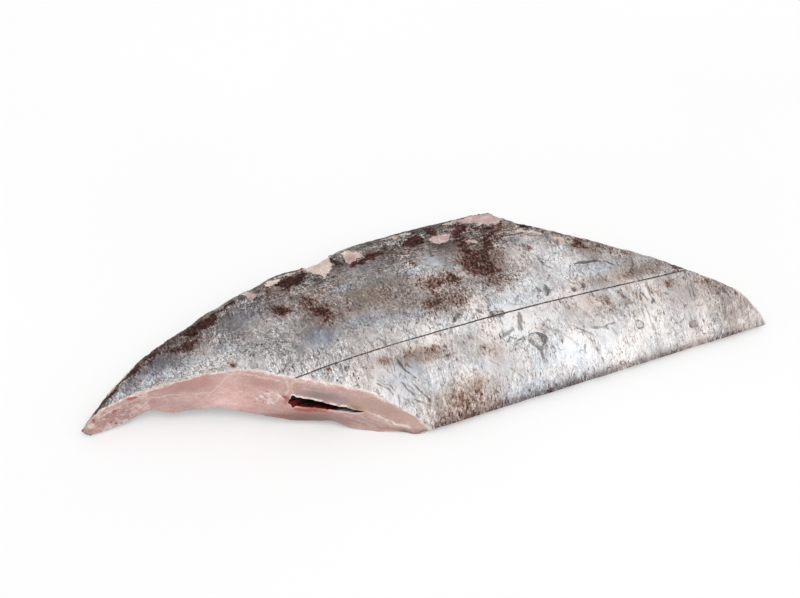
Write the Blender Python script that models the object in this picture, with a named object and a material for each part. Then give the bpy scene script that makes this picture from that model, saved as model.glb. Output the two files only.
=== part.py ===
"""A steak of scabbardfish: a deep, flat chunk of the body that lies on its side.

The head end was cut off on a long slant from nape to belly, and the tail end on a short
one. The flesh and skin are one solid, with the black belly pocket open at the head cut.
The backbone is a second solid that runs through it and shows at both cuts.

X runs along the fish towards its tail, Y towards its back, and Z up. The outlines below
are laid out in millimetres from the belly corner of the head cut. At the end the part
is moved so that its origin is under the middle of its box.
"""

import math

import bmesh
import bpy
import numpy as np
from mathutils import Vector

MM = 0.001

# The back, seen from above: full depth at the tail cut, falling ever faster to the nape.
BODY_DEPTH = 121.5
NAPE_S = -121.0
NAPE_T = 57.0
FULL_DEPTH_S = 84.0
BACK_BEND = 2.2  # power of the long fall
NAPE_BEND = 14.0  # power of the last steep fall
NAPE_BEND_SHARE = 0.07

# Where slices of the back came off with the fin: middle, half length and depth of each.
FIN_SLICES = ((-66, 9, 0.8), (-31, 9, 1.0), (-3, 20, 3.6))

# Thickness of the body against the share of its depth, from belly to back.
HEAD_THICKNESS = ((0, 16), (0.12, 18), (0.25, 19.6), (0.38, 21.4), (0.5, 18.8), (0.6, 15),
                  (0.7, 11.8), (0.8, 10.8), (0.9, 11.0), (1, 10.4))
BODY_THICKNESS = ((0, 16), (0.13, 18.4), (0.25, 20.5), (0.4, 21.5), (0.55, 20.2), (0.7, 18),
                  (0.85, 15.5), (1, 13))
HEAD_FORM_S = (-90.0, -10.0)  # where the first form turns into the second
TAIL_THINNING = 0.15
TAIL_THINNING_S = (40.0, 140.0)

# Edges of the section.
BELLY_WEDGE = 0.13  # share of the depth over which the belly rises from its keel
BELLY_BLUNTNESS = 0.72  # power that makes the wedge blunter below 1
BELLY_KEEL_Z = 2.4
BELLY_TURN = 4.0  # width over which the underside meets the keel
BACK_ROUND = 0.08  # share of the depth over which the back is rounded
NAPE_ROUND = 0.07  # share more at the nape
BACK_EDGE_Z = 6.0
NAPE_EDGE_Z = 3.2
NAPE_EDGE_S = (-115.0, -60.0)  # the nape is thin and lies flat up to here
UNDERCUT = 0.75  # share of the back edge's height by which the underside turns up to it

# The underside is flat along the belly and arches a little inside the head end.
ARCH = 5.2
ARCH_T = (8.0, 40.0)
ARCH_NAPE_S = (-121.0, -86.0)
ARCH_TAIL_S = (-30.0, 90.0)

# The lateral line, a shallow groove along the upper side, a little closer to the belly
# at the head cut.
LATERAL_T = 32.0
LATERAL_HIGHEST_S = 85.0
LATERAL_FALL = 5.0  # down to the head cut
LATERAL_FALL_S = 130.0
LATERAL_HALF_WIDTH = 1.1
LATERAL_DEPTH = 0.5

# Cuts, seen from above, each a smooth curve through these points.
HEAD_CUT = ((-145, 58.5), (-121, 57), (-97, 56.4), (-85, 51.5), (-75, 47), (-60, 38.5),
            (-49, 30.8), (-37, 24.5), (-25, 16.5), (-12, 7.6), (0, 0), (14, -9))
TAIL_CUT = ((78, 128), (97, 95), (119.5, 60), (135, 37.5), (147, 19.5), (159, 0),
            (165, -9))
CUT_STEP = 3.0

# The belly pocket: a flattened, tapering hollow, tallest towards the backbone.
POCKET_MOUTH_S = -36.0
POCKET_REACH = 60.0
POCKET_T = (11.5, 27.6)
POCKET_HEIGHT = 6.4
POCKET_Z = (9.0, 11.0)  # of its belly edge and of the edge by the backbone
POCKET_TALLEST = 0.8  # share of the width where it is tallest

# The backbone, from before the head cut to past the tail cut.
BONE_PATH = ((-85, 33.5, 14.0), (-30, 33.0, 13.0), (40, 32.0, 11.0), (100, 31.5, 9.4),
             (160, 31.0, 8.8))
BONE_RADIUS = 4.0
BONE_CLEARANCE = 0.3

# The mesh of the body before it is cut.
LOFT_S = (-140.0, 176.0)
STATION_STEP = 5.0
BELLY_SIDE_POINTS = 9  # from the keel to the lateral line
BACK_SIDE_POINTS = 15  # from the lateral line to the back
UNDER_POINTS = 12  # from the back to the flat strip along the belly
KEEL_POINTS = 4


def material(name, colour, roughness):
    """A Principled material of one colour."""
    made = bpy.data.materials.new(name)
    made.use_nodes = True
    shader = made.node_tree.nodes["Principled BSDF"]
    shader.inputs["Base Color"].default_value = (*colour, 1)
    shader.inputs["Roughness"].default_value = roughness
    shader.inputs["Metallic"].default_value = 0
    return made


def smooth(x, low, high):
    """0 below low, 1 above high, and a smooth step between."""
    share = min(max((x - low) / (high - low), 0.0), 1.0)
    return share * share * (3 - 2 * share)


def curve_through(points, at):
    """The height at this place of a smooth curve through (place, height) points."""
    places = [p[0] for p in points]
    heights = [p[1] for p in points]
    slopes = np.gradient(heights, places)
    i = int(np.clip(np.searchsorted(places, at) - 1, 0, len(points) - 2))
    span = places[i + 1] - places[i]
    u = (at - places[i]) / span
    low = heights[i] * (1 + 2 * u) * (1 - u) ** 2 + slopes[i] * span * u * (1 - u) ** 2
    high = heights[i + 1] * (3 - 2 * u) * u**2 - slopes[i + 1] * span * (1 - u) * u**2
    return low + high


def plan_curve(points, step):
    """Points about this far apart along a smooth plan curve through the given ones."""
    along = np.concatenate([[0], np.cumsum([math.dist(a, b) for a, b in zip(points, points[1:])])])
    xs = [(d, p[0]) for d, p in zip(along, points)]
    ys = [(d, p[1]) for d, p in zip(along, points)]
    count = int(along[-1] / step)
    return [
        (curve_through(xs, d), curve_through(ys, d))
        for d in np.linspace(0, along[-1], count + 1)
    ]


def back_t(s):
    """Depth of the body at this station: where the back lies."""
    u = max((FULL_DEPTH_S - s) / (FULL_DEPTH_S - NAPE_S), 0.0)
    fall = (1 - NAPE_BEND_SHARE) * u**BACK_BEND + NAPE_BEND_SHARE * u**NAPE_BEND
    sliced = sum(
        depth * (1 - smooth(abs(s - middle), 0, half)) for middle, half, depth in FIN_SLICES
    )
    return BODY_DEPTH - (BODY_DEPTH - NAPE_T) * fall - sliced


def lateral_t(s):
    """Where the lateral line lies at this station."""
    return LATERAL_T - LATERAL_FALL * ((s - LATERAL_HIGHEST_S) / LATERAL_FALL_S) ** 2


def arch_z(s, t):
    """How far the underside stands off the ground."""
    along = smooth(s, *ARCH_NAPE_S) * (1 - smooth(s, *ARCH_TAIL_S))
    return ARCH * smooth(t, *ARCH_T) * along


def back_edge_z(s):
    """Height of the back's outermost line above the underside."""
    return NAPE_EDGE_Z + (BACK_EDGE_Z - NAPE_EDGE_Z) * smooth(s, *NAPE_EDGE_S)


def back_round(s):
    """Share of the depth over which the back is rounded at this station."""
    return BACK_ROUND + NAPE_ROUND * (1 - smooth(s, *NAPE_EDGE_S))


def upper_z(s, t):
    """Height of the upper side."""
    v = min(max(t / back_t(s), 0.0), 1.0)
    to_body = smooth(s, *HEAD_FORM_S)
    thick = (1 - to_body) * curve_through(HEAD_THICKNESS, v)
    thick += to_body * curve_through(BODY_THICKNESS, v)
    thick *= 1 - TAIL_THINNING * smooth(s, *TAIL_THINNING_S)
    belly = math.sin(math.pi / 2 * min(v / BELLY_WEDGE, 1.0)) ** BELLY_BLUNTNESS
    back = math.sqrt(1 - max(1 - (1 - v) / back_round(s), 0.0) ** 2)
    if v < 0.5:
        return arch_z(s, t) + BELLY_KEEL_Z + (thick - BELLY_KEEL_Z) * belly
    return arch_z(s, t) + back_edge_z(s) + (thick - back_edge_z(s)) * back


def lower_z(s, t):
    """Height of the underside."""
    depth = back_t(s)
    keel = 1 - min(t / BELLY_TURN, 1.0)
    edge = max(1 - (depth - t) / (back_round(s) * depth), 0.0)
    turn = 1 - math.sqrt(1 - edge**2)
    turn *= UNDERCUT * back_edge_z(s) * smooth(s, *NAPE_EDGE_S)
    return arch_z(s, t) + BELLY_KEEL_Z * keel + turn


def eased(count):
    """Shares from 0 to 1, closer together at the start."""
    return [1 - math.cos(math.pi / 2 * i / count) for i in range(count)]


def section(s):
    """One closed ring of (t, z) points round the body, from the keel over the top."""
    depth = back_t(s)
    line = lateral_t(s)
    low, high = line - LATERAL_HALF_WIDTH, line + LATERAL_HALF_WIDTH
    belly_side = [low * share for share in eased(BELLY_SIDE_POINTS)]
    back_side = [depth - (depth - high) * share for share in eased(BACK_SIDE_POINTS)]
    over = belly_side + [low, line, high] + back_side[::-1]
    ring = [(t, upper_z(s, t)) for t in over]
    ring[len(belly_side) + 1] = (line, upper_z(s, line) - LATERAL_DEPTH)
    for i in range(1, UNDER_POINTS + 1):
        share = 0.5 + 0.5 * math.cos(math.pi * i / UNDER_POINTS)
        t = ARCH_T[0] + (depth - ARCH_T[0]) * share
        ring.append((t, lower_z(s, t)))
    for i in range(KEEL_POINTS):
        t = BELLY_TURN * (1 - i / KEEL_POINTS) ** 1.5
        ring.append((t, lower_z(s, t)))
    return ring


def new_object(name, bm, into, finish=None):
    """A named object in a collection, from a bmesh in millimetres."""
    bmesh.ops.scale(bm, vec=(MM, MM, MM), verts=bm.verts)
    bmesh.ops.recalc_face_normals(bm, faces=bm.faces)
    mesh = bpy.data.meshes.new(name)
    bm.to_mesh(mesh)
    bm.free()
    if finish:
        mesh.materials.append(finish)
    made = bpy.data.objects.new(name, mesh)
    into.objects.link(made)
    return made


def body_loft(name, into, finish):
    """The uncut body: a loft through its sections, closed at both ends."""
    bm = bmesh.new()
    count = int((LOFT_S[1] - LOFT_S[0]) / STATION_STEP)
    rings = []
    for s in np.linspace(LOFT_S[0], LOFT_S[1], count + 1):
        rings.append([bm.verts.new((s, t, z)) for t, z in section(s)])
    for ring, following in zip(rings, rings[1:]):
        for i in range(len(ring)):
            j = (i + 1) % len(ring)
            bm.faces.new((ring[i], ring[j], following[j], following[i]))
    bm.faces.new(rings[0])
    bm.faces.new(rings[-1])
    return new_object(name, bm, into, finish)


def prism_cutter(name, outline, into):
    """An upright prism that takes away all that lies within a plan outline."""
    bm = bmesh.new()
    base = bm.faces.new([bm.verts.new((s, t, -20)) for s, t in outline])
    raised = bmesh.ops.extrude_face_region(bm, geom=[base])["geom"]
    top = [v for v in raised if isinstance(v, bmesh.types.BMVert)]
    bmesh.ops.translate(bm, vec=(0, 0, 70), verts=top)
    return as_cutter(new_object(name, bm, into))


def as_cutter(made):
    """Marks an object as a cutter, which isn't part of the model."""
    made.hide_render = True
    made.display_type = "WIRE"
    return made


def pocket_cutter(name, into):
    """The belly pocket: a sphere drawn out along the fish, with a lopsided section."""
    bm = bmesh.new()
    bmesh.ops.create_uvsphere(bm, u_segments=24, v_segments=16, radius=1)
    middle, half_width = sum(POCKET_T) / 2, (POCKET_T[1] - POCKET_T[0]) / 2
    for vert in bm.verts:
        x, y, z = vert.co.z, vert.co.x, vert.co.y
        across = (y + (2 * POCKET_TALLEST - 1) * (1 - y * y) + 1) / 2
        vert.co = (
            POCKET_MOUTH_S + POCKET_REACH * x,
            middle + half_width * (2 * across - 1),
            POCKET_Z[0] + (POCKET_Z[1] - POCKET_Z[0]) * across + POCKET_HEIGHT / 2 * z,
        )
    return as_cutter(new_object(name, bm, into))


def tube(name, radius, into, finish=None):
    """A round rod along the backbone's path, as a closed mesh."""
    curve = bpy.data.curves.new(name, "CURVE")
    curve.dimensions = "3D"
    curve.bevel_depth = radius * MM
    curve.bevel_resolution = 6
    curve.use_fill_caps = True
    spline = curve.splines.new("POLY")
    heights = [(p[0], p[2]) for p in BONE_PATH]
    sides = [(p[0], p[1]) for p in BONE_PATH]
    stations = np.linspace(BONE_PATH[0][0], BONE_PATH[-1][0], 17)
    spline.points.add(len(stations) - 1)
    for point, s in zip(spline.points, stations):
        place = (s, curve_through(sides, s), curve_through(heights, s))
        point.co = (*(c * MM for c in place), 1)
    guide = bpy.data.objects.new(name + "_guide", curve)
    into.objects.link(guide)
    bpy.context.view_layer.update()
    seen = guide.evaluated_get(bpy.context.evaluated_depsgraph_get())
    mesh = bpy.data.meshes.new_from_object(seen)
    bpy.data.objects.remove(guide)
    bm = bmesh.new()
    bm.from_mesh(mesh)
    bpy.data.meshes.remove(mesh)
    bmesh.ops.remove_doubles(bm, verts=bm.verts, dist=0.00001)
    bmesh.ops.scale(bm, vec=(1 / MM,) * 3, verts=bm.verts)
    return new_object(name, bm, into, finish)


def cut(target, *cutters):
    """Takes the cutters out of the target, and keeps the result as its mesh."""
    for cutter in cutters:
        boolean = target.modifiers.new(cutter.name, "BOOLEAN")
        boolean.operation = "DIFFERENCE"
        boolean.solver = "EXACT"
        boolean.object = cutter
    bpy.context.view_layer.update()
    seen = target.evaluated_get(bpy.context.evaluated_depsgraph_get())
    mesh = bpy.data.meshes.new_from_object(seen)
    target.modifiers.clear()
    target.data = mesh


def stand_on_origin(parts):
    """Moves the parts together, so that the origin is under the middle of their box."""
    corners = [Vector(corner) for part in parts for corner in part.bound_box]
    low = Vector(min(c[i] for c in corners) for i in range(3))
    high = Vector(max(c[i] for c in corners) for i in range(3))
    move = Vector((-(low.x + high.x) / 2, -(low.y + high.y) / 2, 0))
    for part in parts:
        for vert in part.data.vertices:
            vert.co += move


def main():
    for old in list(bpy.data.objects):
        bpy.data.objects.remove(old)
    parts = bpy.data.collections.new("scabbardfish_steak")
    cutters = bpy.data.collections.new("cutters")
    for collection in (parts, cutters):
        bpy.context.scene.collection.children.link(collection)

    skin = material("silver_skin", (0.55, 0.54, 0.53), 0.35)
    bone = material("bone", (0.80, 0.66, 0.60), 0.45)

    head_line = plan_curve(HEAD_CUT, CUT_STEP)
    tail_line = plan_curve(TAIL_CUT, CUT_STEP)
    head_cut = prism_cutter("head_cut", head_line + [(14, -40), (-145, -40)], cutters)
    tail_cut = prism_cutter("tail_cut", tail_line + [(190, -9), (190, 128)], cutters)
    pocket = pocket_cutter("pocket", cutters)
    tunnel = as_cutter(tube("tunnel", BONE_RADIUS + BONE_CLEARANCE, cutters))

    steak = body_loft("steak", parts, skin)
    cut(steak, head_cut, tail_cut, pocket, tunnel)
    backbone = tube("backbone", BONE_RADIUS, parts, bone)
    cut(backbone, head_cut, tail_cut)

    for round_piece in (steak, backbone):
        round_piece.data.shade_smooth()
        round_piece.data.set_sharp_from_angle(angle=math.radians(35))
    stand_on_origin((steak, backbone))


main()
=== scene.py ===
"""The look of a scabbardfish steak that lies on its side on a pale table.

Every surface is a fine grid over the same named forms as the CAD model: the skin of the
back and of the belly, which meet at the lateral line, the underside, the flesh at both
cuts, the lining of the belly pocket and the backbone.

Forms are worked out in millimetres in the fish's own plan: s runs towards the tail, t
towards the back and z up, from the belly corner of the head cut. A finished grid is
moved to the frame of the CAD model, in metres.
"""

import math

import bpy
import numpy as np
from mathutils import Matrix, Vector


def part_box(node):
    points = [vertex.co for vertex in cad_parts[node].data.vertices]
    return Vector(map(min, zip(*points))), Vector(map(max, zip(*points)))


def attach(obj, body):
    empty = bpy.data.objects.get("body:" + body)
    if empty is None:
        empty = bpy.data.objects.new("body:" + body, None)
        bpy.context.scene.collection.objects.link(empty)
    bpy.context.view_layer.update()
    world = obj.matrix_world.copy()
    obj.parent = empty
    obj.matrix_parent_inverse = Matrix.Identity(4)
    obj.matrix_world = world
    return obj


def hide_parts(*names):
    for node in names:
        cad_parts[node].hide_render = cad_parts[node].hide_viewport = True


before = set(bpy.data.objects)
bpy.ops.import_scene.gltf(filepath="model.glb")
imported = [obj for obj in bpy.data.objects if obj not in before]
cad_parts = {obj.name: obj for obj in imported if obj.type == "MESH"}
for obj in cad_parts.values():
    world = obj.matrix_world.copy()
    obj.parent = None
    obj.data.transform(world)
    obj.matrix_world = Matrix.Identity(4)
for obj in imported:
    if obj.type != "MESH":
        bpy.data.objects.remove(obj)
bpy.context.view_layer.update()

MM = 0.001
PHOTO_WIDTH = 800

# ---------------------------------------------------------------- form of the body, mm
# The back, seen from above.
BODY_DEPTH = 121.5
NAPE_S = -121.0
NAPE_T = 57.0
FULL_DEPTH_S = 84.0
BACK_BEND = 2.2
NAPE_BEND = 14.0
NAPE_BEND_SHARE = 0.07
FIN_SLICES = ((-66, 9, 0.8), (-31, 9, 1.0), (-3, 20, 3.6))  # middle s, half length, depth

# Thickness against the share of the depth, from belly to back.
HEAD_THICKNESS = ((0, 16), (0.12, 18), (0.25, 19.6), (0.38, 21.4), (0.5, 18.8), (0.6, 15),
                  (0.7, 11.8), (0.8, 10.8), (0.9, 11.0), (1, 10.4))
BODY_THICKNESS = ((0, 16), (0.13, 18.4), (0.25, 20.5), (0.4, 21.5), (0.55, 20.2), (0.7, 18),
                  (0.85, 15.5), (1, 13))
HEAD_FORM_S = (-90.0, -10.0)
TAIL_THINNING = 0.15
TAIL_THINNING_S = (40.0, 140.0)

# Edges of the section.
BELLY_WEDGE = 0.13
BELLY_BLUNTNESS = 0.72
BELLY_KEEL_Z = 2.4
BELLY_TURN = 4.0
BACK_ROUND = 0.08
NAPE_ROUND = 0.07
BACK_EDGE_Z = 6.0
NAPE_EDGE_Z = 3.2
NAPE_EDGE_S = (-115.0, -60.0)
UNDERCUT = 0.75

# The arch of the underside.
ARCH = 5.2
ARCH_T = (8.0, 40.0)
ARCH_NAPE_S = (-121.0, -86.0)
ARCH_TAIL_S = (-30.0, 90.0)

# The lateral line, seen from above.
LATERAL_LINE = ((-130, 20), (-100, 23), (-70, 25.6), (-45, 27.5), (-28, 28.7), (0, 30.1),
                (30, 31.6), (60, 32.7), (97, 33.1), (130, 31.8), (170, 29))

# Cuts, seen from above, each a smooth curve through these points.
HEAD_CUT = ((-145, 58.5), (-121, 57), (-97, 56.4), (-85, 51.5), (-75, 47), (-60, 38.5),
            (-49, 30.8), (-37, 24.5), (-25, 16.5), (-12, 7.6), (0, 0), (14, -9))
TAIL_CUT = ((78, 128), (97, 95), (119.5, 60), (135, 37.5), (147, 19.5), (159, 0),
            (165, -9))
TAIL_TIP_S = 159.0
TAIL_BACK_S = 82.0  # where the tail cut meets the back

# The backbone, from before the head cut to past the tail cut.
BONE_PATH = ((-85, 33.5, 14.0), (-30, 33.0, 13.0), (40, 32.0, 11.0), (100, 31.5, 9.4),
             (160, 31.0, 8.8))
BONE_RADIUS = 4.0

# ---------------------------------------------------------------- the skin's own detail
LEAN = 0.2  # how far the streaks lean over at the middle, as a slope
LEAN_CHANGE = 0.0010  # and how much more for each millimetre towards the tail

# Outlined shapes: strength, then the corners of the outline in s and t. Their borders
# get ragged. Cream and pink ones are bare flesh.
CREAM_SHAPES = (
    (1, ((-7.5, 96), (-4.4, 92.6), (-2.8, 88.4), (-1.4, 91.6), (1.6, 93.6), (4, 97), (4.6, 102),
        (8, 107), (9, 114), (-4, 112), (-6.4, 106), (-7.4, 101))),
    (1, ((-28, 95.6), (-25.6, 99.6), (-23.4, 98.8), (-20.6, 97.8), (-22.6, 95.2))),
    (1, ((-38.6, 96.4), (-36.4, 99.8), (-34.2, 99.2), (-34.2, 95.4), (-36.6, 92.6))),
    (0.9, ((-20, 100.4), (-15, 98.6), (-11, 99.6), (-7.4, 99.8), (-7.2, 103), (-12, 101.2),
        (-16, 101))),
    (0.55, ((34, 112), (37.6, 108.6), (41.4, 109.4), (46, 110.2), (48.8, 112), (44, 113.4))),
    (1, ((63.4, 112.6), (65, 110), (67.6, 109.4), (70, 112), (69, 114.6))),
    (1, ((10.8, 107), (13, 104.4), (17, 105.6), (16, 108.4))),
    (1, ((88, 93.4), (91, 92.2), (96.8, 86.6), (99.4, 83), (97, 83.6), (92.6, 87.8), (88.4, 91))),
    (1, ((99.6, 73.4), (100.4, 77.4), (102.6, 79.6), (103.6, 76), (102.4, 71), (100.2, 69.8))),
    (0.9, ((108.2, 69.8), (112, 66.4), (110, 66.4))),
    (0.8, ((-100, 74), (-96, 77.6), (-94, 76.8), (-97, 73.4))),
    (0.8, ((-107, 67.4), (-103, 71.4), (-102, 69.8), (-105, 66.6))),
    (0.7, ((-86, 82.4), (-83, 84.8), (-82.4, 83), (-84.6, 80.8))),
)
PINK_SHAPES = (
    (1, ((-7.5, 95), (-4.4, 92), (-2.6, 88.6), (-1.4, 92), (1.4, 94), (1, 96.4), (-3, 97.4))),
    (1, ((9.6, 95.6), (12, 96.4), (15.6, 97.4), (19.2, 100), (18.4, 104), (15.4, 106), (12.4, 106),
        (11, 102))),
    (0.9, ((-34.4, 97), (-32.4, 92.6), (-35, 89.4), (-37.8, 91.8), (-36, 95))),
    (1, ((50.6, 101.5), (54, 104.2), (58, 103.4), (62.6, 102.6), (60, 98.4), (56.4, 95.2),
        (53.4, 94.8), (51.4, 98))),
    (1, ((65.6, 112), (69.6, 109), (74.6, 105), (79, 102.4), (86, 102), (90.8, 105.6),
        (89.4, 109.6), (85.4, 112.6), (75, 113.6), (69, 113.6))),
    (0.8, ((65.2, 91), (67, 93), (70.6, 92.4), (69.6, 89.2), (66.6, 88.2))),
    (0.8, ((-94, 75.6), (-84, 81.6), (-76, 86), (-77, 83.4), (-86, 78.4), (-93, 74))),
)
DARK_SHAPES = (
    (1, ((-23.4, 95), (-19.6, 97.6), (-14.6, 97), (-9.4, 98.4), (-8.6, 96.4), (-12, 92),
        (-15, 88.8), (-19.4, 88), (-21.8, 85.4), (-23, 87.6), (-22.2, 91))),
    (1, ((9.4, 92), (11.6, 95.6), (16.4, 96.8), (20, 100.2), (23.4, 100.6), (27.6, 99), (26, 96.2),
        (21, 94), (17, 93.2), (13.6, 92.6), (11.4, 90.6))),
    (1, ((38.6, 99), (40.8, 104.6), (44.4, 106.4), (49, 108.4), (49.6, 103.4), (47.6, 98.8),
        (44.6, 97.2), (41.6, 97.6))),
    (0.85, ((52, 107.6), (54.6, 112.6), (58.6, 110.8), (58, 107.6), (55.6, 104.6))),
    (0.9, ((63.4, 100), (65.2, 104.6), (68.2, 108.4), (70.4, 106), (72, 103.4), (68.6, 100.4))),
    (0.8, ((72, 103.4), (79, 101.4), (86.4, 101.2), (88, 99), (82, 98), (76, 99.6))),
    (0.85, ((93.4, 97.6), (96, 95.6), (98.4, 92), (95.6, 91.6), (93, 94.6))),
    (0.9, ((98.6, 90), (101.4, 88.6), (101.6, 85.6), (99.4, 86.6))),
    (0.8, ((102.4, 83), (105, 82.6), (106.6, 79), (104.6, 79.6))),
    (0.9, ((-70, 82), (-64, 86.6), (-57, 88), (-50, 91.6), (-43, 93.4), (-42, 92), (-46, 90),
        (-52, 89), (-55, 84), (-58, 81), (-62, 82.4), (-66, 79))),
    (0.6, ((-83, 75.4), (-80, 76.6), (-74, 76), (-70, 77), (-65, 77), (-64.6, 73.6), (-68, 72.4),
        (-70, 69.8), (-73, 70.6), (-76, 73.4))),
    (0.5, ((-98, 67), (-94, 70.4), (-86, 74), (-84, 72.4), (-90, 68.6), (-95, 66))),
    (0.9, ((4.4, 106), (6.6, 103.4), (8.6, 98), (6.6, 97.6), (4.8, 100.4))),
    (0.7, ((34.4, 91.6), (35, 94.6), (36.6, 94.4), (36.4, 91.4))),
    (0.75, ((26.4, 104), (27.4, 100), (27.8, 97.4), (26.8, 97.6), (25.8, 101))),
    (0.6, ((133.4, 39.4), (135, 38.8), (138, 33), (134.4, 31.6), (133, 33.6))),
)
BROWN_SHAPES = (
    (1.1, ((-33.8, 78), (-31, 78.8), (-28.4, 76), (-26, 73.6), (-27.4, 69), (-30, 66.8),
        (-32.4, 68.6), (-33.8, 73))),
    (1, ((-21.6, 77), (-17.4, 75.4), (-18.4, 68), (-16.4, 65.6), (-13, 66.4), (-12.6, 62),
        (-14, 57), (-15.8, 51.6), (-18.6, 51.4), (-21.8, 54.6), (-19.8, 58), (-21.8, 63),
        (-21, 70))),
    (0.85, ((27, 60), (29.6, 66), (33, 68.4), (37, 67.6), (40.4, 70.4), (44, 69.4), (45.8, 65.4),
        (45.6, 59), (38, 58), (32.6, 57))),
    (1.0, ((50, 61), (51.6, 72), (53.4, 78), (57.6, 80.6), (58, 86), (60.6, 92), (61.4, 98),
        (64, 104), (67.6, 108), (70, 102), (67.4, 95), (63.4, 90), (64.4, 84), (68.6, 86),
        (72, 92), (79, 97), (88, 103.4), (86, 95), (80, 92), (76, 87), (73, 82), (70, 78),
        (68, 72), (66.4, 66), (64.4, 60), (58, 59))),
    (1.3, ((64, 74), (66, 80), (68, 86), (74, 93), (80, 98), (78, 92), (73, 84), (69, 76),
        (66, 72))),
    (1.3, ((60, 88), (61.4, 98), (64, 105), (67.6, 108), (69, 102), (65.4, 94), (63, 88))),
    (1.25, ((103.4, 66.6), (105, 70.6), (106.6, 74.8), (109, 71.6), (111.6, 69), (109.6, 65),
        (110.4, 61.6), (107.4, 62.2), (105.4, 64))),
    (0.7, ((20, 41), (20, 49), (23, 53), (29, 52), (36, 52), (42, 48), (40, 42), (36, 40),
        (31, 43), (25, 40))),
    (0.6, ((1, 0.4), (3, 2.2), (8, 4.0), (13, 5.8), (18, 7.6), (24, 7.2), (28, 5.8), (31, 3.0),
        (38, 1.0), (38, -2), (1, -2))),
    (0.7, ((-83, 75.4), (-80, 78.6), (-74, 79), (-66, 80), (-64.6, 74), (-70, 69.8), (-76, 72))),
)
# Round or long patches: middle s and t, half sizes along s and t, turn in degrees and
# strength. Their borders get ragged too. First the brown pigment.
BROWN_PATCHES = (
    (-9, 62, 8, 8, 0, 0.45), (30, 55, 1.6, 6, 0, 0.7), (13, 54, 13, 9, 0, 0.35),
    (20, 67, 12, 8, 0, 0.3), (60, 54, 10, 8, 0, 0.6), (34, 46, 13, 8, 0, 0.5),
    (-30, 86, 7, 8, 0, 0.45), (-82, 79, 22, 4.5, 24, 0.6), (-66, 75, 8, 4, 0, 0.55),
    (36, 96, 16, 12, 0, 0.4), (-14, 80, 12, 4, 0, 0.35), (8, 100, 10, 8, 0, 0.4),
    (20, 88, 10, 6, 0, 0.3), (78, 96, 16, 10, -20, 0.5), (38, 62, 13, 9, 0, 0.7),
    (34, 50, 14, 8, 0, 0.64), (-18.6, 71, 4.6, 9, 0, 0.85), (-17, 57, 6, 8, 0, 0.8),
    (-30, 73, 6, 7, 0, 0.7), (-20, 94, 9, 6, 0, 0.6), (75, 92, 9, 9, 0, 0.75),
    (71, 76, 4, 11, -8, 0.6), (12, 62, 12, 8, 0, 0.4), (18, 5, 9, 3.6, 8, 0.4),
    (44, 100, 14, 8, 0, 0.45), (34, 95, 14, 4, 0, 0.4), (-7.4, 23.5, 3.6, 2.6, 0, 0.55),
    (8, 20, 3.4, 1.8, 0, 0.4), (4, 1.6, 5, 2, 0, 0.5), (34.6, 44.4, 3.4, 4, 0, 0.5),
    (3, 24.4, 4.4, 2.6, 0, 0.6), (12, 23.3, 4.6, 2.6, -6, 0.8), (34, 16, 6, 4.4, 0, 0.45),
    (72, 0.4, 14, 1.2, 0, 0.3), (115, 38.4, 9, 2.6, 3, 0.5), (118, 57, 5, 5, -40, 0.55),
    (-86.4, 51, 2.4, 1.3, -30, 1.0), (-62.6, 44.6, 1.2, 4.2, -8, 0.8), (-50, 68, 5, 12, 0, 0.35),
    (-46, 66, 1.4, 8, 0, 0.3), (95, 27, 2.5, 6, 8, 0.55), (92, 30, 1.2, 6, 10, 0.5),
    (126, 27, 1.5, 5, 8, 0.6), (143, 22, 2, 8, 10, 0.6), (117, 26, 1.2, 7, 12, 0.5),
    (82, 23, 1.2, 6, 12, 0.4), (103.4, 27, 1.2, 4, 0, 0.4), (127, 26, 4, 4, 0, 0.4),
    (142, 21, 4.5, 7, 0, 0.42), (-29.4, 26.6, 2.4, 1.8, 0, 0.7), (85.4, 75, 2.4, 4, 10, 0.75),
    (-5, 80, 4, 1.4, 0, 0.5), (34, 83, 1.4, 3.6, -20, 0.8), (18.5, 83, 1.0, 4.5, -12, 0.5),
    (79, 93, 8, 4, -30, 0.55), (46, 88, 1.6, 5, -25, 0.5), (2, 87, 5, 1.4, -35, 0.45),
    (-22, 80, 1.4, 7, 4, 0.45), (-13.4, 64, 1.4, 9, -18, 0.4), (70, 43, 12, 2, 0, 0.2),
    (125, 36, 6, 3, 0, 0.35), (100, 40, 1.6, 5, -24, 0.4), (120, 24, 1.4, 8, -20, 0.3),
    (150, 10, 6, 6, 0, 0.25), (97, 92, 4, 7, 35, 0.5), (104, 80, 4, 8, 30, 0.6),
    (113, 62, 5, 9, 33, 0.5), (120, 54, 3.4, 5, 30, 0.55), (92, 22, 5, 8, 0, 0.3),
    (-71, 58, 1, 6, -12, 0.35), (-96, 62, 6, 1.4, 20, 0.3),
)
# Olive pigment.
OLIVE_PATCHES = (
    (5, 67, 9, 9, 0, 1.0), (22, 68, 9, 6, 0, 0.45), (40, 56, 10, 5, 0, 0.4),
    (-7, 23.4, 4, 3, 0, 0.75), (8, 22, 13, 4.4, 0, 0.9), (14, 3.6, 16, 4.4, 4, 0.4),
    (109, 64, 4, 2.6, -30, 0.8), (116, 38, 16, 3.4, 0, 0.6), (82, 96, 8, 6, 0, 0.4),
    (28, 46, 10, 7, 0, 0.4), (22, 5.5, 9, 3.5, 6, 0.5), (-68, 75, 7, 4, 0, 0.7),
    (22, 23, 10, 4, 0, 0.3),
)
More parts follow.
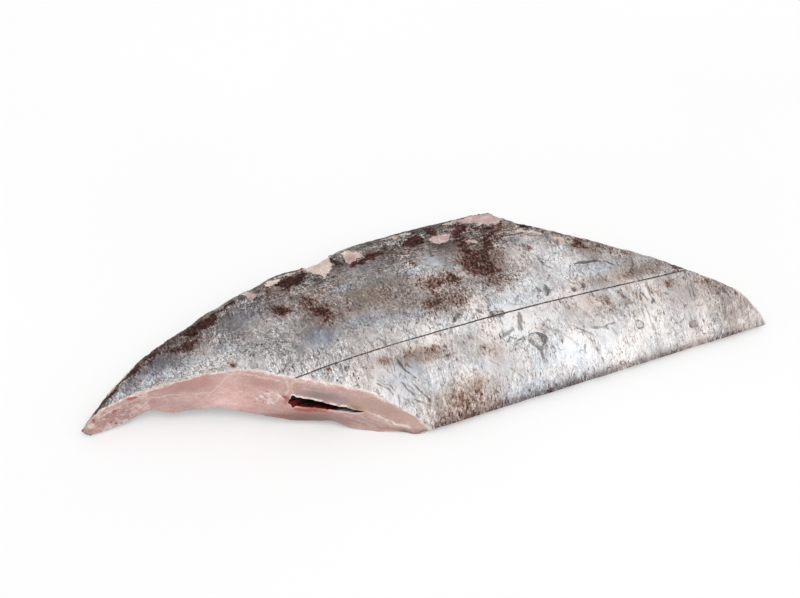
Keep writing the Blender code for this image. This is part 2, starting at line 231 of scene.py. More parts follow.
# Where the silver is bluish.
BLUE_PATCHES = (
    (-25, 44.4, 13, 7.2, 12, 1.0), (-8, 48, 12, 4.4, 6, 0.9), (-31, 80, 5, 8, 0, 0.45),
    (-42, 82, 9, 5, 25, 0.55), (3, 50, 6, 5, 0, 0.5), (31, 76, 5, 4, 0, 0.7),
    (92, 66, 9, 10, 0, 0.45), (84, 83, 6, 5, 0, 0.6), (8, 12, 12, 5, 0, 0.6),
    (14, 88, 10, 6, -10, 0.5), (98, 50, 8, 5, 0, 0.45), (30, 12, 8, 3, 0, 0.35),
    (48, 1.6, 18, 2.6, 0, 0.75), (-94, 63, 22, 7, 22, 0.9), (48, 78, 5, 8, 0, 0.35),
    (108, 46, 8, 5, 0, 0.5), (-70, 60, 22, 8, 12, 0.55), (-48, 75, 18, 8, 20, 0.55),
    (0, 76, 12, 6, 0, 0.6), (44, 82, 9, 9, 0, 0.7), (10, 44, 16, 5, 4, 0.5),
    (20, 92, 12, 5, -6, 0.5), (60, 40, 20, 5, 0, 0.35), (-2, 16, 12, 10, 0, 0.6),
    (60, 6, 24, 6, 0, 0.4),
)
# Where streaks are faint.
CALM_PATCHES = (
    (75, 6, 20, 8, 0, 0.6), (30, 12, 24, 9, 0, 0.5), (110, 62, 14, 14, 0, 0.35),
    (120, 15, 24, 12, 0, 0.1), (70, 45, 14, 9, 0, 0.4), (0, 36, 24, 5, 2, 0.3),
    (142, 12, 14, 10, 0, 0.25), (44, 82, 7, 9, 0, 0.7), (88, 78, 12, 12, 0, 0.5),
    (95, 84, 8, 6, 0, 0.4), (-2, 14, 16, 12, 0, 1.0), (5, 48, 26, 8, 0, 0.5),
    (16, 20, 14, 8, 0, 0.6), (-25, 44.4, 13, 7.4, 12, 1.6),
)
# Where a thin brown stain darkens the silver.
STAIN_PATCHES = (
    (24, 60, 34, 15, 0, 0.75), (-17, 64, 10, 18, 0, 0.8), (-30, 80, 8, 14, 0, 0.5),
    (-22, 92, 15, 8, 0, 0.8), (34, 46, 18, 9, 0, 0.6), (60, 80, 15, 30, 0, 1.0),
    (30, 62, 14, 10, 0, 0.9), (82, 92, 16, 12, -30, 0.7), (112, 38, 26, 6, 0, 0.7),
    (110, 66, 9, 14, -35, 0.6), (-5, 85, 12, 5, 0, 0.5), (16, 82, 10, 8, 0, 0.3),
    (40, 94, 16, 12, 0, 0.5), (10, 23, 20, 6, 0, 0.6), (36, 16, 10, 8, 0, 0.6),
    (92, 22, 16, 10, 0, 0.5), (128, 20, 16, 14, 0, 0.5), (145, 12, 9, 12, 0, 0.5),
    (-62, 70, 9, 9, 0, 0.4), (-92, 66, 16, 6, 20, 0.4), (-14, 53, 20, 4, 0, 0.3),
    (70, 30, 34, 6, 0, 0.35), (18, 4, 18, 5, 8, 0.9), (2, 99, 14, 9, 0, 0.5),
    (20, 98, 14, 7, 0, 0.7), (88, 26, 2, 8, 12, 0.7), (95, 27, 3, 7, 12, 1.0),
    (127, 26, 5, 6, 0, 0.8), (142, 20, 6, 9, 10, 0.8), (110, 24, 2.4, 9, 14, 0.8),
    (78, 25, 8, 7, 0, 0.5), (118, 22, 2, 9, 16, 0.7), (103, 26, 1.6, 7, 14, 0.7),
    (134, 16, 2, 10, 12, 0.6), (60, 20, 5, 5, 0, 0.5), (-62, 47, 3, 5, 0, 0.6),
    (-10, 72, 8, 10, 0, 0.4), (94, 40, 16, 4, 0, 0.5),
)

# Broad light and dark zones: middle s and t, half sizes and change of brightness.
# They are partly the skin's own tone, partly painted light and shade: a painted highlight
# on the bright belly and painted shade along the keel, where the belly turns under.
TONE_AND_PAINTED_LIGHT_ZONES = (
    (97, 62, 14, 15, 0.24), (76, 47, 18, 10, 0.11), (-68, 53, 15, 8, 0.16), (87, 56, 9, 8, 0.12),
    (88, 79, 8, 7, 0.14), (-64, 64, 12, 6, 0.12), (32, 76, 6, 5, 0.14), (-90, 82, 12, 6, -0.25),
    (5, 40, 10, 8, 0.03), (105, 45, 8, 6, 0.08), (-98, 60, 14, 4.5, 0.16), (-82, 58, 12, 5, 0.10),
    (-40, 62, 16, 10, 0.08), (-55, 80, 18, 7, -0.14), (-12, 84, 16, 9, -0.06),
    (10, 94, 30, 9, -0.14), (70, 92, 20, 12, -0.10), (127, 38, 12, 7, -0.20),
    (142, 18, 12, 13, -0.12), (142, 6, 8, 7, -0.12), (74, 68, 10, 12, 0.08), (30, 8, 14, 8, 0.05),
    (-20, 30, 22, 12, -0.10), (18, 6, 16, 6, -0.14), (74, 8, 16, 8, 0.12), (112, 77, 8, 10, 0.06),
    (95, 84, 10, 6, 0.08), (30, 46, 12, 6, -0.06), (-88, 68, 16, 5, -0.12),
    (48, 1, 18, 2.4, -0.11), (154, 8, 7, 9, -0.08), (100, 0, 70, 1.3, -0.30),
    (30, 0, 50, 0.9, -0.2), (52, 26, 14, 8, 0.08), (15, 40, 20, 5, -0.03), (-52, 70, 6, 12, -0.06),
    (88, 26, 6, 6, -0.04), (-25, 45, 12, 7, -0.075), (133, 14, 9, 11, 0.05), (40, 62, 10, 8, 0.03),
    (40, 62, 12, 9, 0.12), (45, 46, 9, 7, 0.11), (65, 46, 9, 7, 0.06), (62, 48, 10, 8, 0.12),
    (36, 74, 7, 6, 0.08), (5, 86, 9, 5, 0.06), (44, 81, 7, 10, 0.22), (73, 51, 9, 8, 0.17),
    (15, 55, 8, 6, 0.10), (106, 54, 8, 6, 0.10), (95, 22, 50, 18, 0.065), (66, 34, 16, 7, 0.06),
    (56, 25, 8, 6, 0.06), (116, 14, 10, 8, 0.06), (104, 35, 12, 5, -0.10), (-55, 46, 8, 6, 0.08),
    (-14, 46, 14, 6, -0.08), (42, 65, 26, 8, 0.12), (36, 60, 12, 10, 0.08), (30, 50, 12, 7, 0.08),
    (-55, 76, 9, 7, 0.08), (-36, 76, 9, 7, 0.05), (-15, 66, 6, 9, 0.06), (-20, 105, 10, 6, -0.2),
    (102, 76, 6, 8, -0.1), (48, 37, 14, 5, 0.08), (53, 22, 9, 8, 0.06), (14, 27, 10, 5, 0.05),
    (36, 116, 16, 7, -0.16), (64, 115, 16, 6, -0.14), (45, 113, 34, 6, -0.16),
    (-74, 86, 14, 5, -0.22), (-86, 64, 9, 5, 0.10), (80, 96, 10, 8, -0.08),
    (114, 27, 12, 10, 0.05), (58, 24, 10, 10, 0.07), (64, 60, 8, 8, 0.05), (30, 95, 8, 6, -0.08),
    (66, 76, 6, 8, -0.08), (-30, 94, 14, 5, -0.08), (88, 67, 10, 8, 0.05), (34, 44, 8, 6, 0.06),
    (-115, 58, 8, 6, -0.14), (84, 72, 8, 7, 0.08), (56, 96, 10, 9, -0.10),
)

# Fine dark lines: points along the line, its half width and its strength.
LINES = (
    (((-2.8, 24), (-2.2, 19)), 0.5, 1.1), (((-2.2, 19), (-0.4, 15), (1, 13)), 0.35, 1.0),
    (((-5.8, 12.6), (-3.6, 9.8), (-2, 8.4)), 0.4, 1.0), (((-3.6, 11.6), (-1.8, 9.4)), 0.25, 0.7),
    (((-1.4, 11.6), (0.8, 8.4), (3.2, 5.2)), 0.35, 0.9), (((-0.4, 13.6), (1, 10)), 0.25, 0.6),
    (((-15, 15.6), (-12.4, 13), (-10.8, 10.2)), 0.35, 0.9),
    (((-3, 7), (0, 5.2), (2.6, 4.4)), 0.3, 0.7),
    (((-14.4, 17), (-11.4, 13.6), (-9.4, 10.8)), 0.3, 0.8), (((-7, 8), (-3.4, 5.6)), 0.25, 0.6),
    (((-19, 36.4), (-17.6, 30)), 0.7, 0.6), (((19, 14), (21, 10)), 0.25, 0.4),
    (((22.6, 12), (25, 8.6)), 0.25, 0.5), (((-8, 20), (-6.4, 14.6)), 0.3, 0.35),
    (((43, 13.2), (45.6, 15), (47.2, 15.6)), 0.35, 0.9),
    (((44, 18), (46.4, 19.6), (48, 18.2)), 0.4, 0.8),
    (((46.4, 14.8), (49, 17.4), (51.4, 18.2)), 0.4, 0.9),
    (((38.4, 4), (40.6, 6), (43, 7)), 0.3, 0.7), (((40.6, 7.6), (43.4, 5), (44.8, 4.2)), 0.3, 0.6),
    (((33, 12), (36, 9.6)), 0.25, 0.5), (((62, 22), (66, 16), (70, 12), (72, 9)), 0.7, 0.35),
    (((75, 15.6), (78, 13), (80, 10.2)), 0.35, 0.8),
    (((79.2, 12), (79.6, 6), (80.4, 2)), 0.35, 0.6),
    (((82, 14), (84.6, 13), (87, 11.8)), 0.35, 0.8), (((89.4, 11.6), (90, 9)), 0.3, 0.6),
    (((95.4, 26), (96.6, 17)), 0.9, 0.4), (((105, 12), (106.6, 16), (108.4, 19.6)), 0.4, 0.6),
    (((106.4, 3), (107.4, 9)), 0.35, 0.5), (((104, 30), (103.4, 22)), 0.8, 0.5),
    (((136.4, 25), (131, 14)), 0.3, 0.7), (((142.6, 25), (140, 14)), 0.4, 0.6),
    (((125.2, 15), (125.4, 7)), 0.3, 0.6), (((134, 24), (130, 15)), 0.25, 0.6),
    (((138.4, 26), (134, 18)), 0.25, 0.5), (((115, 38), (118, 43)), 0.3, 0.7),
    (((130, 11.6), (133.6, 11)), 0.3, 0.6), (((30.4, 60), (29.6, 52), (30, 44)), 0.4, 0.7),
    (((86, 80), (84.6, 71), (86, 62)), 0.4, 0.6), (((85.4, 66), (84.4, 58), (86.4, 54)), 0.4, 0.9),
    (((123.6, 53), (119, 43), (115, 36)), 0.3, 0.8), (((72.4, 37), (76, 44.6)), 0.45, 0.8),
    (((73, 36.8), (76.6, 40)), 0.5, 0.7), (((79, 47), (83, 51)), 0.35, 0.8),
    (((52, 22), (54.2, 26.6), (56.6, 31)), 0.42, 0.85),
    (((43, 21), (46.6, 21.4), (50, 24)), 0.4, 0.7), (((49, 15), (52, 18)), 0.4, 0.7),
    (((42.6, 13), (46, 15)), 0.3, 0.7), (((47, 15.4), (49.6, 11.4), (49.2, 9.6)), 0.35, 0.7),
    (((53.6, 13), (55, 10.6), (55, 6.6)), 0.38, 0.85),
    (((57, 12), (56.2, 10.2), (55.4, 7.6)), 0.33, 0.7),
    (((80.8, 13.6), (83.4, 12.6), (86.4, 12.6), (88.6, 13.4), (91.4, 13.4)), 0.4, 0.9),
    (((74.6, 15.2), (77.6, 13)), 0.35, 0.8), (((74, 13.4), (76.6, 12.4)), 0.3, 0.5),
    (((78.2, 18.6), (78, 15)), 0.4, 0.8), (((77, 13), (78.6, 8), (80, 3)), 0.3, 0.5),
    (((100.2, 12), (101.6, 15.4)), 0.3, 0.7), (((101.2, 8), (101.4, 3)), 0.25, 0.5),
    (((106.4, 7), (108, 13.4), (109.8, 18.6)), 0.3, 0.6), (((111.8, 27), (112.2, 21)), 0.45, 0.7),
    (((114, 18), (114.8, 21.4)), 0.55, 0.8), (((145.4, 20.6), (145.8, 13)), 0.5, 0.8),
    (((125, 16), (125.8, 8)), 0.25, 0.5), (((99, 44.6), (97, 41.4), (95, 39)), 0.4, 0.8),
    (((100.4, 48), (101.8, 41)), 0.4, 0.6), (((91.4, 40), (91, 36)), 0.5, 0.7),
    (((86, 38), (86.6, 36)), 0.6, 0.7), (((28.6, 35), (32.6, 38)), 0.5, 0.8),
    (((41, 38), (41.4, 35)), 0.5, 0.8), (((51, 42), (51.2, 39.4)), 0.4, 0.7),
    (((59.4, 41), (58.6, 37)), 0.4, 0.6), (((40, 50.4), (43.4, 51.4)), 0.4, 0.6),
    (((52, 51.4), (57, 51.8)), 0.5, 0.6), (((99, 84), (97.4, 76)), 0.4, 0.8),
    (((101.6, 76), (98.6, 71)), 0.7, 1.0), (((118, 13.6), (121, 11.4), (125, 11.4)), 0.25, 0.4),
    (((124, 38), (124.6, 35)), 0.5, 0.7), (((78, 22), (77, 15), (78.4, 18)), 0.25, 0.4),
    (((16, 19), (18.4, 20)), 0.4, 0.8), (((24.6, 10.4), (25.6, 10.4)), 0.4, 0.8),
    (((84, 60), (78, 63), (73, 67)), 0.3, 0.35), (((86, 35), (60, 35)), 0.2, 0.1),
    (((15, 93), (20.6, 90)), 0.6, 0.6), (((8, 92), (4, 86)), 0.4, 0.4),
    (((90, 88), (97, 81)), 0.6, 0.5), (((108, 64), (103, 61), (98, 60)), 0.4, 0.3),
)

# Round scars: middle s and t, half sizes and how dark the inside is.
SCARS = (
    (56.4, 15.2, 3.6, 3.5, 0.62), (47.2, 32.8, 3.6, 1.9, 0.8), (101.6, 10, 1.7, 1.5, 0.25),
    (125.6, 5.4, 2.0, 1.1, 0.5),
)
# Worn flecks, outlined as the shapes are. They come out darkest along their borders.
FLECKS = (
    (0.85, ((57.4, 18.2), (58.8, 17.8), (60, 15.8), (59.6, 13.4), (58, 12.2), (57.4, 13.6),
        (58.2, 15.8))),
    (0.3, ((55.2, 12.2), (57, 11.8), (56.6, 9.6), (55.4, 7), (54.6, 9.6))),
    (0.8, ((28.2, 34.4), (29.6, 36.8), (32.8, 38.2), (32, 35.6), (30.4, 35.4), (29.4, 34))),
    (0.8, ((40.6, 38.4), (42.4, 37.4), (42.2, 35), (40.6, 36))),
    (0.3, ((51.8, 21.8), (52.8, 21.6), (55.6, 26.6), (57.2, 31), (56, 31), (53.4, 26.8))),
    (0.25, ((43, 20.8), (45, 22.6), (50.6, 23.8), (50, 22.4), (46.6, 21.4), (44.6, 20.6))),
    (0.7, ((72.4, 36.6), (74.6, 37.4), (76.8, 41.4), (76.4, 45), (75, 42), (74.4, 39))),
    (0.75, ((85, 35.6), (85.8, 38), (87.4, 38.2), (87, 36.2))),
    (0.75, ((90.4, 35.4), (91, 39.6), (92.4, 40.4), (92.4, 37))),
    (0.6, ((16.4, 18.4), (17.4, 19.6), (19.2, 20), (18.4, 18.6))),
    (0.7, ((112.6, 18), (113.4, 20), (115, 21.6), (114.6, 19))),
    (0.6, ((94.8, 54.6), (100, 52.4), (106, 51.6), (108, 50.6), (106.6, 53), (101, 54.2))),
    (0.6, ((108.6, 51), (110.4, 50), (112, 46.8), (110.4, 47.8))),
    (0.6, ((-2.6, 22.8), (-1.8, 22.6), (-1.2, 17), (-2.2, 19))),
)

# ---------------------------------------------------------------- the head cut's face
# Distances run along the cut from the belly corner, heights above the table.
POCKET_MIDDLE = ((0, 1.2), (12, 6.0), (25, 9.6), (32, 9.9), (39, 10.3), (44.5, 11.1),
                 (50.6, 12.15), (55, 12.3), (64, 14.4), (86, 13.4), (104, 11.4), (120, 7.6),
                 (138, 2.8))
# The mouth of the belly pocket: distance, then the heights of its floor and roof.
POCKET_MOUTH = (
    (25, 9.6, 9.6), (25.6, 9.5, 9.9), (27, 9.2, 10.0), (29.6, 9.0, 10.3), (32, 9.0, 10.9),
    (36, 9.0, 11.1), (39, 9.1, 11.6), (41.3, 9.2, 12.4), (44.5, 9.3, 13.0), (47.6, 9.5, 13.7),
    (50.6, 10.0, 14.4), (53.3, 10.1, 15.0), (53.7, 11.2, 14.0), (54.2, 11.4, 13.4),
    (54.5, 11.9, 12.6), (55, 12.2, 12.3),
)
POCKET_LENGTH = 56.0
POCKET_CORE_T = 19.5
# Pale membranes, given as the fine lines are, but with distances and heights. The short
# stroke at distances 110 to 114 is a painted highlight on the wet flesh.
SEPTA = (
    (((137, 6), (118, 11), (106, 12.4), (96, 13.3), (83, 14.2), (72, 15.0)), 0.3, 0.6),
    (((86.5, 12.4), (84.6, 14.4), (82, 17.2), (79.6, 20.0), (77, 22.6), (73, 24.6)), 0.45, 0.5),
    (((55.4, 15.4), (54.6, 17.6), (54.2, 20.4), (54.8, 22.6)), 0.6, 0.9),
    (((52.6, 17.2), (53, 20), (52.2, 22.4)), 0.4, 0.5),
    (((24, 9.4), (19.6, 7.6), (15.6, 5.8), (11, 4.0), (7.6, 3.4)), 0.55, 1.2),
    (((22, 7.4), (18.4, 5.4), (14, 3.6)), 0.8, 0.5),
    (((72, 23.6), (66, 23.6), (58, 22.6)), 0.5, 0.6), (((50, 22), (42, 20.6), (36, 20)), 0.4, 0.5),
    (((48, 18.4), (44, 17.6), (38, 17)), 0.4, 0.3),
    (((114, 9), (111.4, 7.6), (110, 9.6)), 0.8, 0.7),
    (((33, 6.6), (27, 4.6), (22, 2.6)), 0.3, 0.35), (((30, 8.2), (24, 6), (18, 3)), 0.3, 0.35),
    (((31, 4), (26, 2.4)), 0.3, 0.3), (((58.4, 14.6), (60, 16.4), (63, 17)), 0.4, 0.6),
    (((124, 9.6), (119, 11.6), (113, 12.6)), 0.3, 0.5),
)

# Soft zones of the head cut's face: middle distance and height, half sizes, change of brightness.
# They are partly the flesh's own lighter and darker pink, partly painted shade along the lower
# edge and under the pocket's mouth, and painted light and shade beside a fold.
HEAD_ZONES = (
    (95, 17, 14, 4.8, -0.16), (77, 12, 11, 9, 0.10), (104, 8, 10, 4, -0.05),
    (66, 20, 11, 3.4, -0.10), (78, 17, 5, 5, 0.08), (98, 9, 16, 3, -0.02),
    (43, 15.4, 12, 3, -0.18), (48, 4.8, 18, 3.0, -0.50), (8, 5, 7, 4, 0.04),
    (16, 11, 10, 5, -0.13), (26, 13, 7, 4, -0.10), (60, 8, 8, 3, -0.04), (80, 10, 9, 4, 0.16),
    (70, 13, 8, 6, 0.08), (18, 4, 16, 3, -0.10), (118, 10, 7, 3.4, -0.22), (125, 5, 9, 3, -0.20),
    (133, 3, 3, 3, -0.1), (26, 4, 8, 3, -0.07), (46, 2.4, 18, 1.8, -0.25), (15, 6, 12, 6, -0.05),
    (90, 12, 22, 6, -0.04), (64, 4.6, 10, 1.4, -0.14), (98, 5, 14, 1.2, -0.14),
    (10, 2.2, 8, 0.9, -0.3), (50, 21, 8, 2, -0.04),
)
# Its deep pink, grey, yellow and bloody patches, laid out like those of the skin.
HEAD_PATCHES = (
    ((93, 18.2, 14, 4.0, -14, 0.85), (65, 20.4, 9, 2.6, 3, 0.75), (115.4, 12, 5, 2.0, 10, 1.1),
     (47, 6.6, 11, 2.2, 4, 0.8), (124, 6.6, 9, 3.4, 4, 0.9), (109, 10, 6, 3, 0, 0.45),
     (16, 10, 8, 3, -24, 0.3), (57, 10, 4, 3, 0, 0.5), (70, 8, 5, 3, 0, 0.3)),
    ((42, 15.2, 12, 3.2, 5, 1.1), (32, 12.6, 7, 2.4, 10, 0.8), (22, 13, 6, 3, 20, 0.35),
     (134, 2.4, 3, 2, 0, 0.5), (119, 4, 6, 1.6, 0, 0.5), (98, 8.4, 12, 2, 0, 0.3),
     (46, 4.4, 10, 1.2, 0, 0.5)),
    ((28.4, 11.2, 4.4, 1.8, 16, 1.15), (25, 12.6, 6, 3.4, 16, 0.75), (17, 12, 11, 5, 22, 0.6),
     (6, 7, 9, 5, 30, 0.6), (12, 4, 12, 3, 8, 0.45), (28, 5, 9, 3, 0, 0.25),
     (133.2, 4.2, 2.4, 2.4, 0, 1.1), (45, 7.6, 9, 1.6, 3, 0.5), (47, 4, 14, 1.8, 0, 0.4)),
    ((55.8, 14.2, 1.9, 1.3, 0, 1.1), (55.8, 12, 1.2, 1.6, 0, 0.7), (115.8, 13, 2.4, 1.1, 6, 1.1),
     (131.4, 7.4, 0.9, 1.3, 0, 1.1), (124.6, 3.9, 0.9, 0.8, 0, 1.1), (126, 6.6, 0.7, 0.8, 0, 0.9),
     (122.6, 8.6, 1.4, 0.9, 0, 0.9), (117.6, 6.8, 1.4, 0.6, 0, 0.8),
     (119.6, 7.6, 0.8, 0.5, 0, 0.6), (126.6, 9.4, 1.2, 0.6, 0, 0.5), (57, 5.2, 6.4, 1.0, -4, 0.65),
     (46, 8.1, 9, 1.4, 3, 1.0), (40, 7.4, 4, 0.8, 0, 0.6), (49.6, 5.6, 6.4, 1.2, 6, 0.5),
     (61, 9.4, 3.6, 1.2, 10, 0.35), (91.6, 11.8, 0.6, 0.7, 0, 0.5), (68, 10.8, 1.8, 0.7, 0, 0.6),
     (50, 3.6, 4, 0.5, 0, 0.6), (107, 11.4, 1.6, 0.8, 0, 0.35)),
)
# The same for the tail cut's face.
TAIL_SEPTA = tuple((line, 0.4, 0.7) for line in (
    ((0, 1), (20, 7), (36, 9.4), (60, 9), (100, 8), (138, 7)), ((62, 9), (70, 14), (78, 20)),
    ((92, 8.4), (86, 13), (84, 18)), ((30, 9), (24, 13), (20, 17)), ((60, 9), (66, 5), (74, 2)),
    ((110, 8), (104, 11), (102, 14)),
))
TAIL_ZONES = ((60, 14, 16, 4, -0.10), (30, 5, 14, 3, 0.06), (100, 10, 14, 3, -0.08),
              (80, 5, 14, 3, 0.04))
TAIL_PATCHES = (
    ((60, 13, 14, 3, 6, 0.8), (100, 11, 12, 2.4, 0, 0.7), (28, 11, 8, 2, 0, 0.6)),
    ((18, 5, 10, 2, 10, 0.5),), ((8, 3, 4, 1.4, 10, 0.5),),
    ((33, 12.6, 2.4, 0.6, 0, 0.8), (46, 6, 3, 0.4, 6, 0.7), (84, 6, 2, 0.5, 0, 0.6)),
)
# How far the lower edge of the head cut's face lies above the plain underside.
HEAD_SAG = ((-1, 0), (3, 0.1), (10, 1.0), (15, 0.5), (20, -0.2), (25, -0.55), (30, -0.8),
            (34, 0.4), (38, 1.25), (43, 0.0), (50, -1.0), (60, -0.8), (65, -0.75), (71, -0.4),
            (76, 0.3), (81, 1.2), (88, 0.5), (94, -0.1), (101, -1.1), (104, -0.5), (107, 0.8),
            (110, 1.1), (112.5, -0.1), (115, -0.6), (119, -1.5), (123, -1.1), (128, -0.2),
            (132, 0.3), (138, 0.6))
# At the nape's tip nothing reaches lower than this.
TIP_FLOOR = ((133, 0.0), (134, 1.2), (135.4, 2.2), (136.3, 3.6), (137, 5.0))


def smooth(x, low, high):
    """0 below low, 1 above high, and a smooth step between."""
    share = np.clip((np.asarray(x, float) - low) / (high - low), 0.0, 1.0)
    return share * share * (3 - 2 * share)


def bell(x, width):
    """1 where x is 0, and less and less to both sides: about a third at this width."""
    return np.exp(-((x / width) ** 2))


def curve_through(points, at):
    """Heights at these places of a smooth curve through (place, height) points."""
    places, heights = np.array(points, float).T
    slopes = np.gradient(heights, places)
    at = np.asarray(at, float)
    i = np.clip(np.searchsorted(places, at) - 1, 0, len(places) - 2)
    span = places[i + 1] - places[i]
    u = (at - places[i]) / span
    low = heights[i] * (1 + 2 * u) * (1 - u) ** 2 + slopes[i] * span * u * (1 - u) ** 2
    high = heights[i + 1] * (3 - 2 * u) * u**2 - slopes[i + 1] * span * (1 - u) * u**2
    return low + high


def plan_curve(points, step):
    """Stations s and t this far apart along a smooth plan curve through the points."""
    points = np.array(points, float)
    along = np.concatenate([[0], np.cumsum(np.hypot(*np.diff(points, axis=0).T))])
    at = np.linspace(0, along[-1], int(along[-1] / step) + 1)
    return tuple(curve_through(list(zip(along, points[:, i])), at) for i in (0, 1))


def back_t(s):
    """Depth of the body: where the back lies."""
    u = np.maximum((FULL_DEPTH_S - s) / (FULL_DEPTH_S - NAPE_S), 0.0)
    fall = (1 - NAPE_BEND_SHARE) * u**BACK_BEND + NAPE_BEND_SHARE * u**NAPE_BEND
    sliced = sum(
        depth * (1 - smooth(abs(s - middle), 0, half)) for middle, half, depth in FIN_SLICES
    )
    return BODY_DEPTH - (BODY_DEPTH - NAPE_T) * fall - sliced


def lateral_t(s):
    """Where the lateral line lies."""
    return curve_through(LATERAL_LINE, s)


def arch_z(s, t):
    """How far the underside stands off the table."""
    return ARCH * smooth(t, *ARCH_T) * smooth(s, *ARCH_NAPE_S) * (1 - smooth(s, *ARCH_TAIL_S))


def back_edge_z(s):
    """Height of the back's outermost line above the underside."""
    return NAPE_EDGE_Z + (BACK_EDGE_Z - NAPE_EDGE_Z) * smooth(s, *NAPE_EDGE_S)


def back_round(s):
    """Share of the depth over which the back is rounded."""
    return BACK_ROUND + NAPE_ROUND * (1 - smooth(s, *NAPE_EDGE_S))


def upper_z(s, t):
    """Height of the upper side."""
    v = np.clip(t / back_t(s), 0.0, 1.0)
    to_body = smooth(s, *HEAD_FORM_S)
    thick = (1 - to_body) * curve_through(HEAD_THICKNESS, v)
    thick += to_body * curve_through(BODY_THICKNESS, v)
    thick *= 1 - TAIL_THINNING * smooth(s, *TAIL_THINNING_S)
    belly = np.sin(math.pi / 2 * np.minimum(v / BELLY_WEDGE, 1.0)) ** BELLY_BLUNTNESS
    back = np.sqrt(1 - np.maximum(1 - (1 - v) / back_round(s), 0.0) ** 2)
    from_keel = BELLY_KEEL_Z + (thick - BELLY_KEEL_Z) * belly
    from_edge = back_edge_z(s) + (thick - back_edge_z(s)) * back
    return arch_z(s, t) + np.where(v < 0.5, from_keel, from_edge)


def lower_z(s, t):
    """Height of the underside."""
    depth = back_t(s)
    keel = 1 - np.minimum(t / BELLY_TURN, 1.0)
    edge = np.clip(1 - (depth - t) / (back_round(s) * depth), 0.0, 1.0)
    turn = 1 - np.sqrt(1 - edge**2)
    turn *= UNDERCUT * back_edge_z(s) * smooth(s, *NAPE_EDGE_S)
    return arch_z(s, t) + BELLY_KEEL_Z * keel + turn


# ---------------------------------------------------------------- noise and masks
LATTICE_SIZE = 256
LATTICE = np.random.default_rng(23).uniform(-1, 1, (16, LATTICE_SIZE, LATTICE_SIZE))


def noise(x, y, layer):
    """Smooth noise from -1 to 1 with about one bump per unit of x and of y."""
    cell_x, cell_y = np.floor(x).astype(int), np.floor(y).astype(int)
    u, v = x - cell_x, y - cell_y
    u, v = u * u * (3 - 2 * u), v * v * (3 - 2 * v)
    left, right = cell_x % LATTICE_SIZE, (cell_x + 1) % LATTICE_SIZE
    low, high = cell_y % LATTICE_SIZE, (cell_y + 1) % LATTICE_SIZE
    table = LATTICE[layer]
    near = table[left, low] * (1 - u) + table[right, low] * u
    far = table[left, high] * (1 - u) + table[right, high] * u
    return near * (1 - v) + far * v


def rough_noise(x, y, layer, octaves=3):
    """Noise with finer and fainter bumps on top of it."""
    total, strength = 0.0, 0.5
    for i in range(octaves):
        total = total + strength * noise(x * 2**i + 7.3 * i, y * 2**i + 3.1 * i, layer + i)
        strength /= 2
    return total


def patch_mask(patches, s, t, layer, ragged=0.45, soft=(0.55, 1.25)):
    """How strongly each place is covered by patches with ragged borders."""
    wobble_s = rough_noise(s / 3.0, t / 4.5, layer)
    wobble_t = rough_noise(s / 3.0 + 40, t / 4.5 + 9, layer)
    total = np.zeros_like(s)
    for middle_s, middle_t, half_s, half_t, turn, strength in patches:
        a = math.radians(turn)
        x = (s - middle_s) * math.cos(a) + (t - middle_t) * math.sin(a)
        y = (t - middle_t) * math.cos(a) - (s - middle_s) * math.sin(a)
        far = np.hypot(x / half_s + ragged * wobble_s, y / half_t + ragged * wobble_t)
        total = np.maximum(total, strength * (1 - smooth(far, *soft)))
    return total


def zone_mask(zones, s, t):
    """Sum of soft round zones, each with a change of brightness."""
    total = np.zeros_like(s)
    for middle_s, middle_t, half_s, half_t, change in zones:
        total += change * bell(s - middle_s, half_s) * bell(t - middle_t, half_t)
    return total


def line_distance(points, s, t):
    """Distance of each place from a broken line."""
    nearest = np.full_like(s, 1e9)
    for (s0, t0), (s1, t1) in zip(points, points[1:]):
        length2 = (s1 - s0) ** 2 + (t1 - t0) ** 2
        share = np.clip(((s - s0) * (s1 - s0) + (t - t0) * (t1 - t0)) / length2, 0, 1)
        away = np.hypot(s - s0 - share * (s1 - s0), t - t0 - share * (t1 - t0))
        nearest = np.minimum(nearest, away)
    return nearest


def shape_mask(shapes, s, t, layer, ragged=1.0, soft=0.5):
    """How strongly each place is covered by outlined shapes with ragged borders."""
    wobble_s = rough_noise(s / 2.6, t / 3.4, layer)
    wobble_t = rough_noise(s / 2.6 + 40, t / 3.4 + 9, layer)
    s, t = s + ragged * wobble_s, t + ragged * wobble_t
    total = np.zeros_like(s)
    for strength, corners in shapes:
        outline = corners + corners[:1]
        low, high = np.min(corners, axis=0) - soft, np.max(corners, axis=0) + soft
        near = (s > low[0]) & (s < high[0]) & (t > low[1]) & (t < high[1])
        x, y = s[near], t[near]
        inside = np.zeros(x.shape, bool)
        for (s0, t0), (s1, t1) in zip(outline, outline[1:]):
            crossed = (t0 > y) != (t1 > y)
            inside ^= crossed & (x < s0 + (y - t0) * (s1 - s0) / (t1 - t0 + 1e-9))
        away = line_distance(outline, x, y) * np.where(inside, 1, -1)
        total[near] = np.maximum(total[near], strength * smooth(away, -soft, soft))
    return total


def line_mask(lines, s, t, layer, wander=0.5):
    """How strongly each place is covered by fine wandering lines."""
    s = s + wander * noise(s / 2.1, t / 2.1, layer)
    t = t + wander * noise(s / 2.1 + 31, t / 2.1, layer)
    total = np.zeros_like(s)
    for points, half_width, strength in lines:
        away = line_distance(points, s, t)
        total = np.maximum(total, strength * bell(away, half_width))
    return total * (0.72 + 0.4 * noise(s / 1.5, t / 1.5, layer + 1))


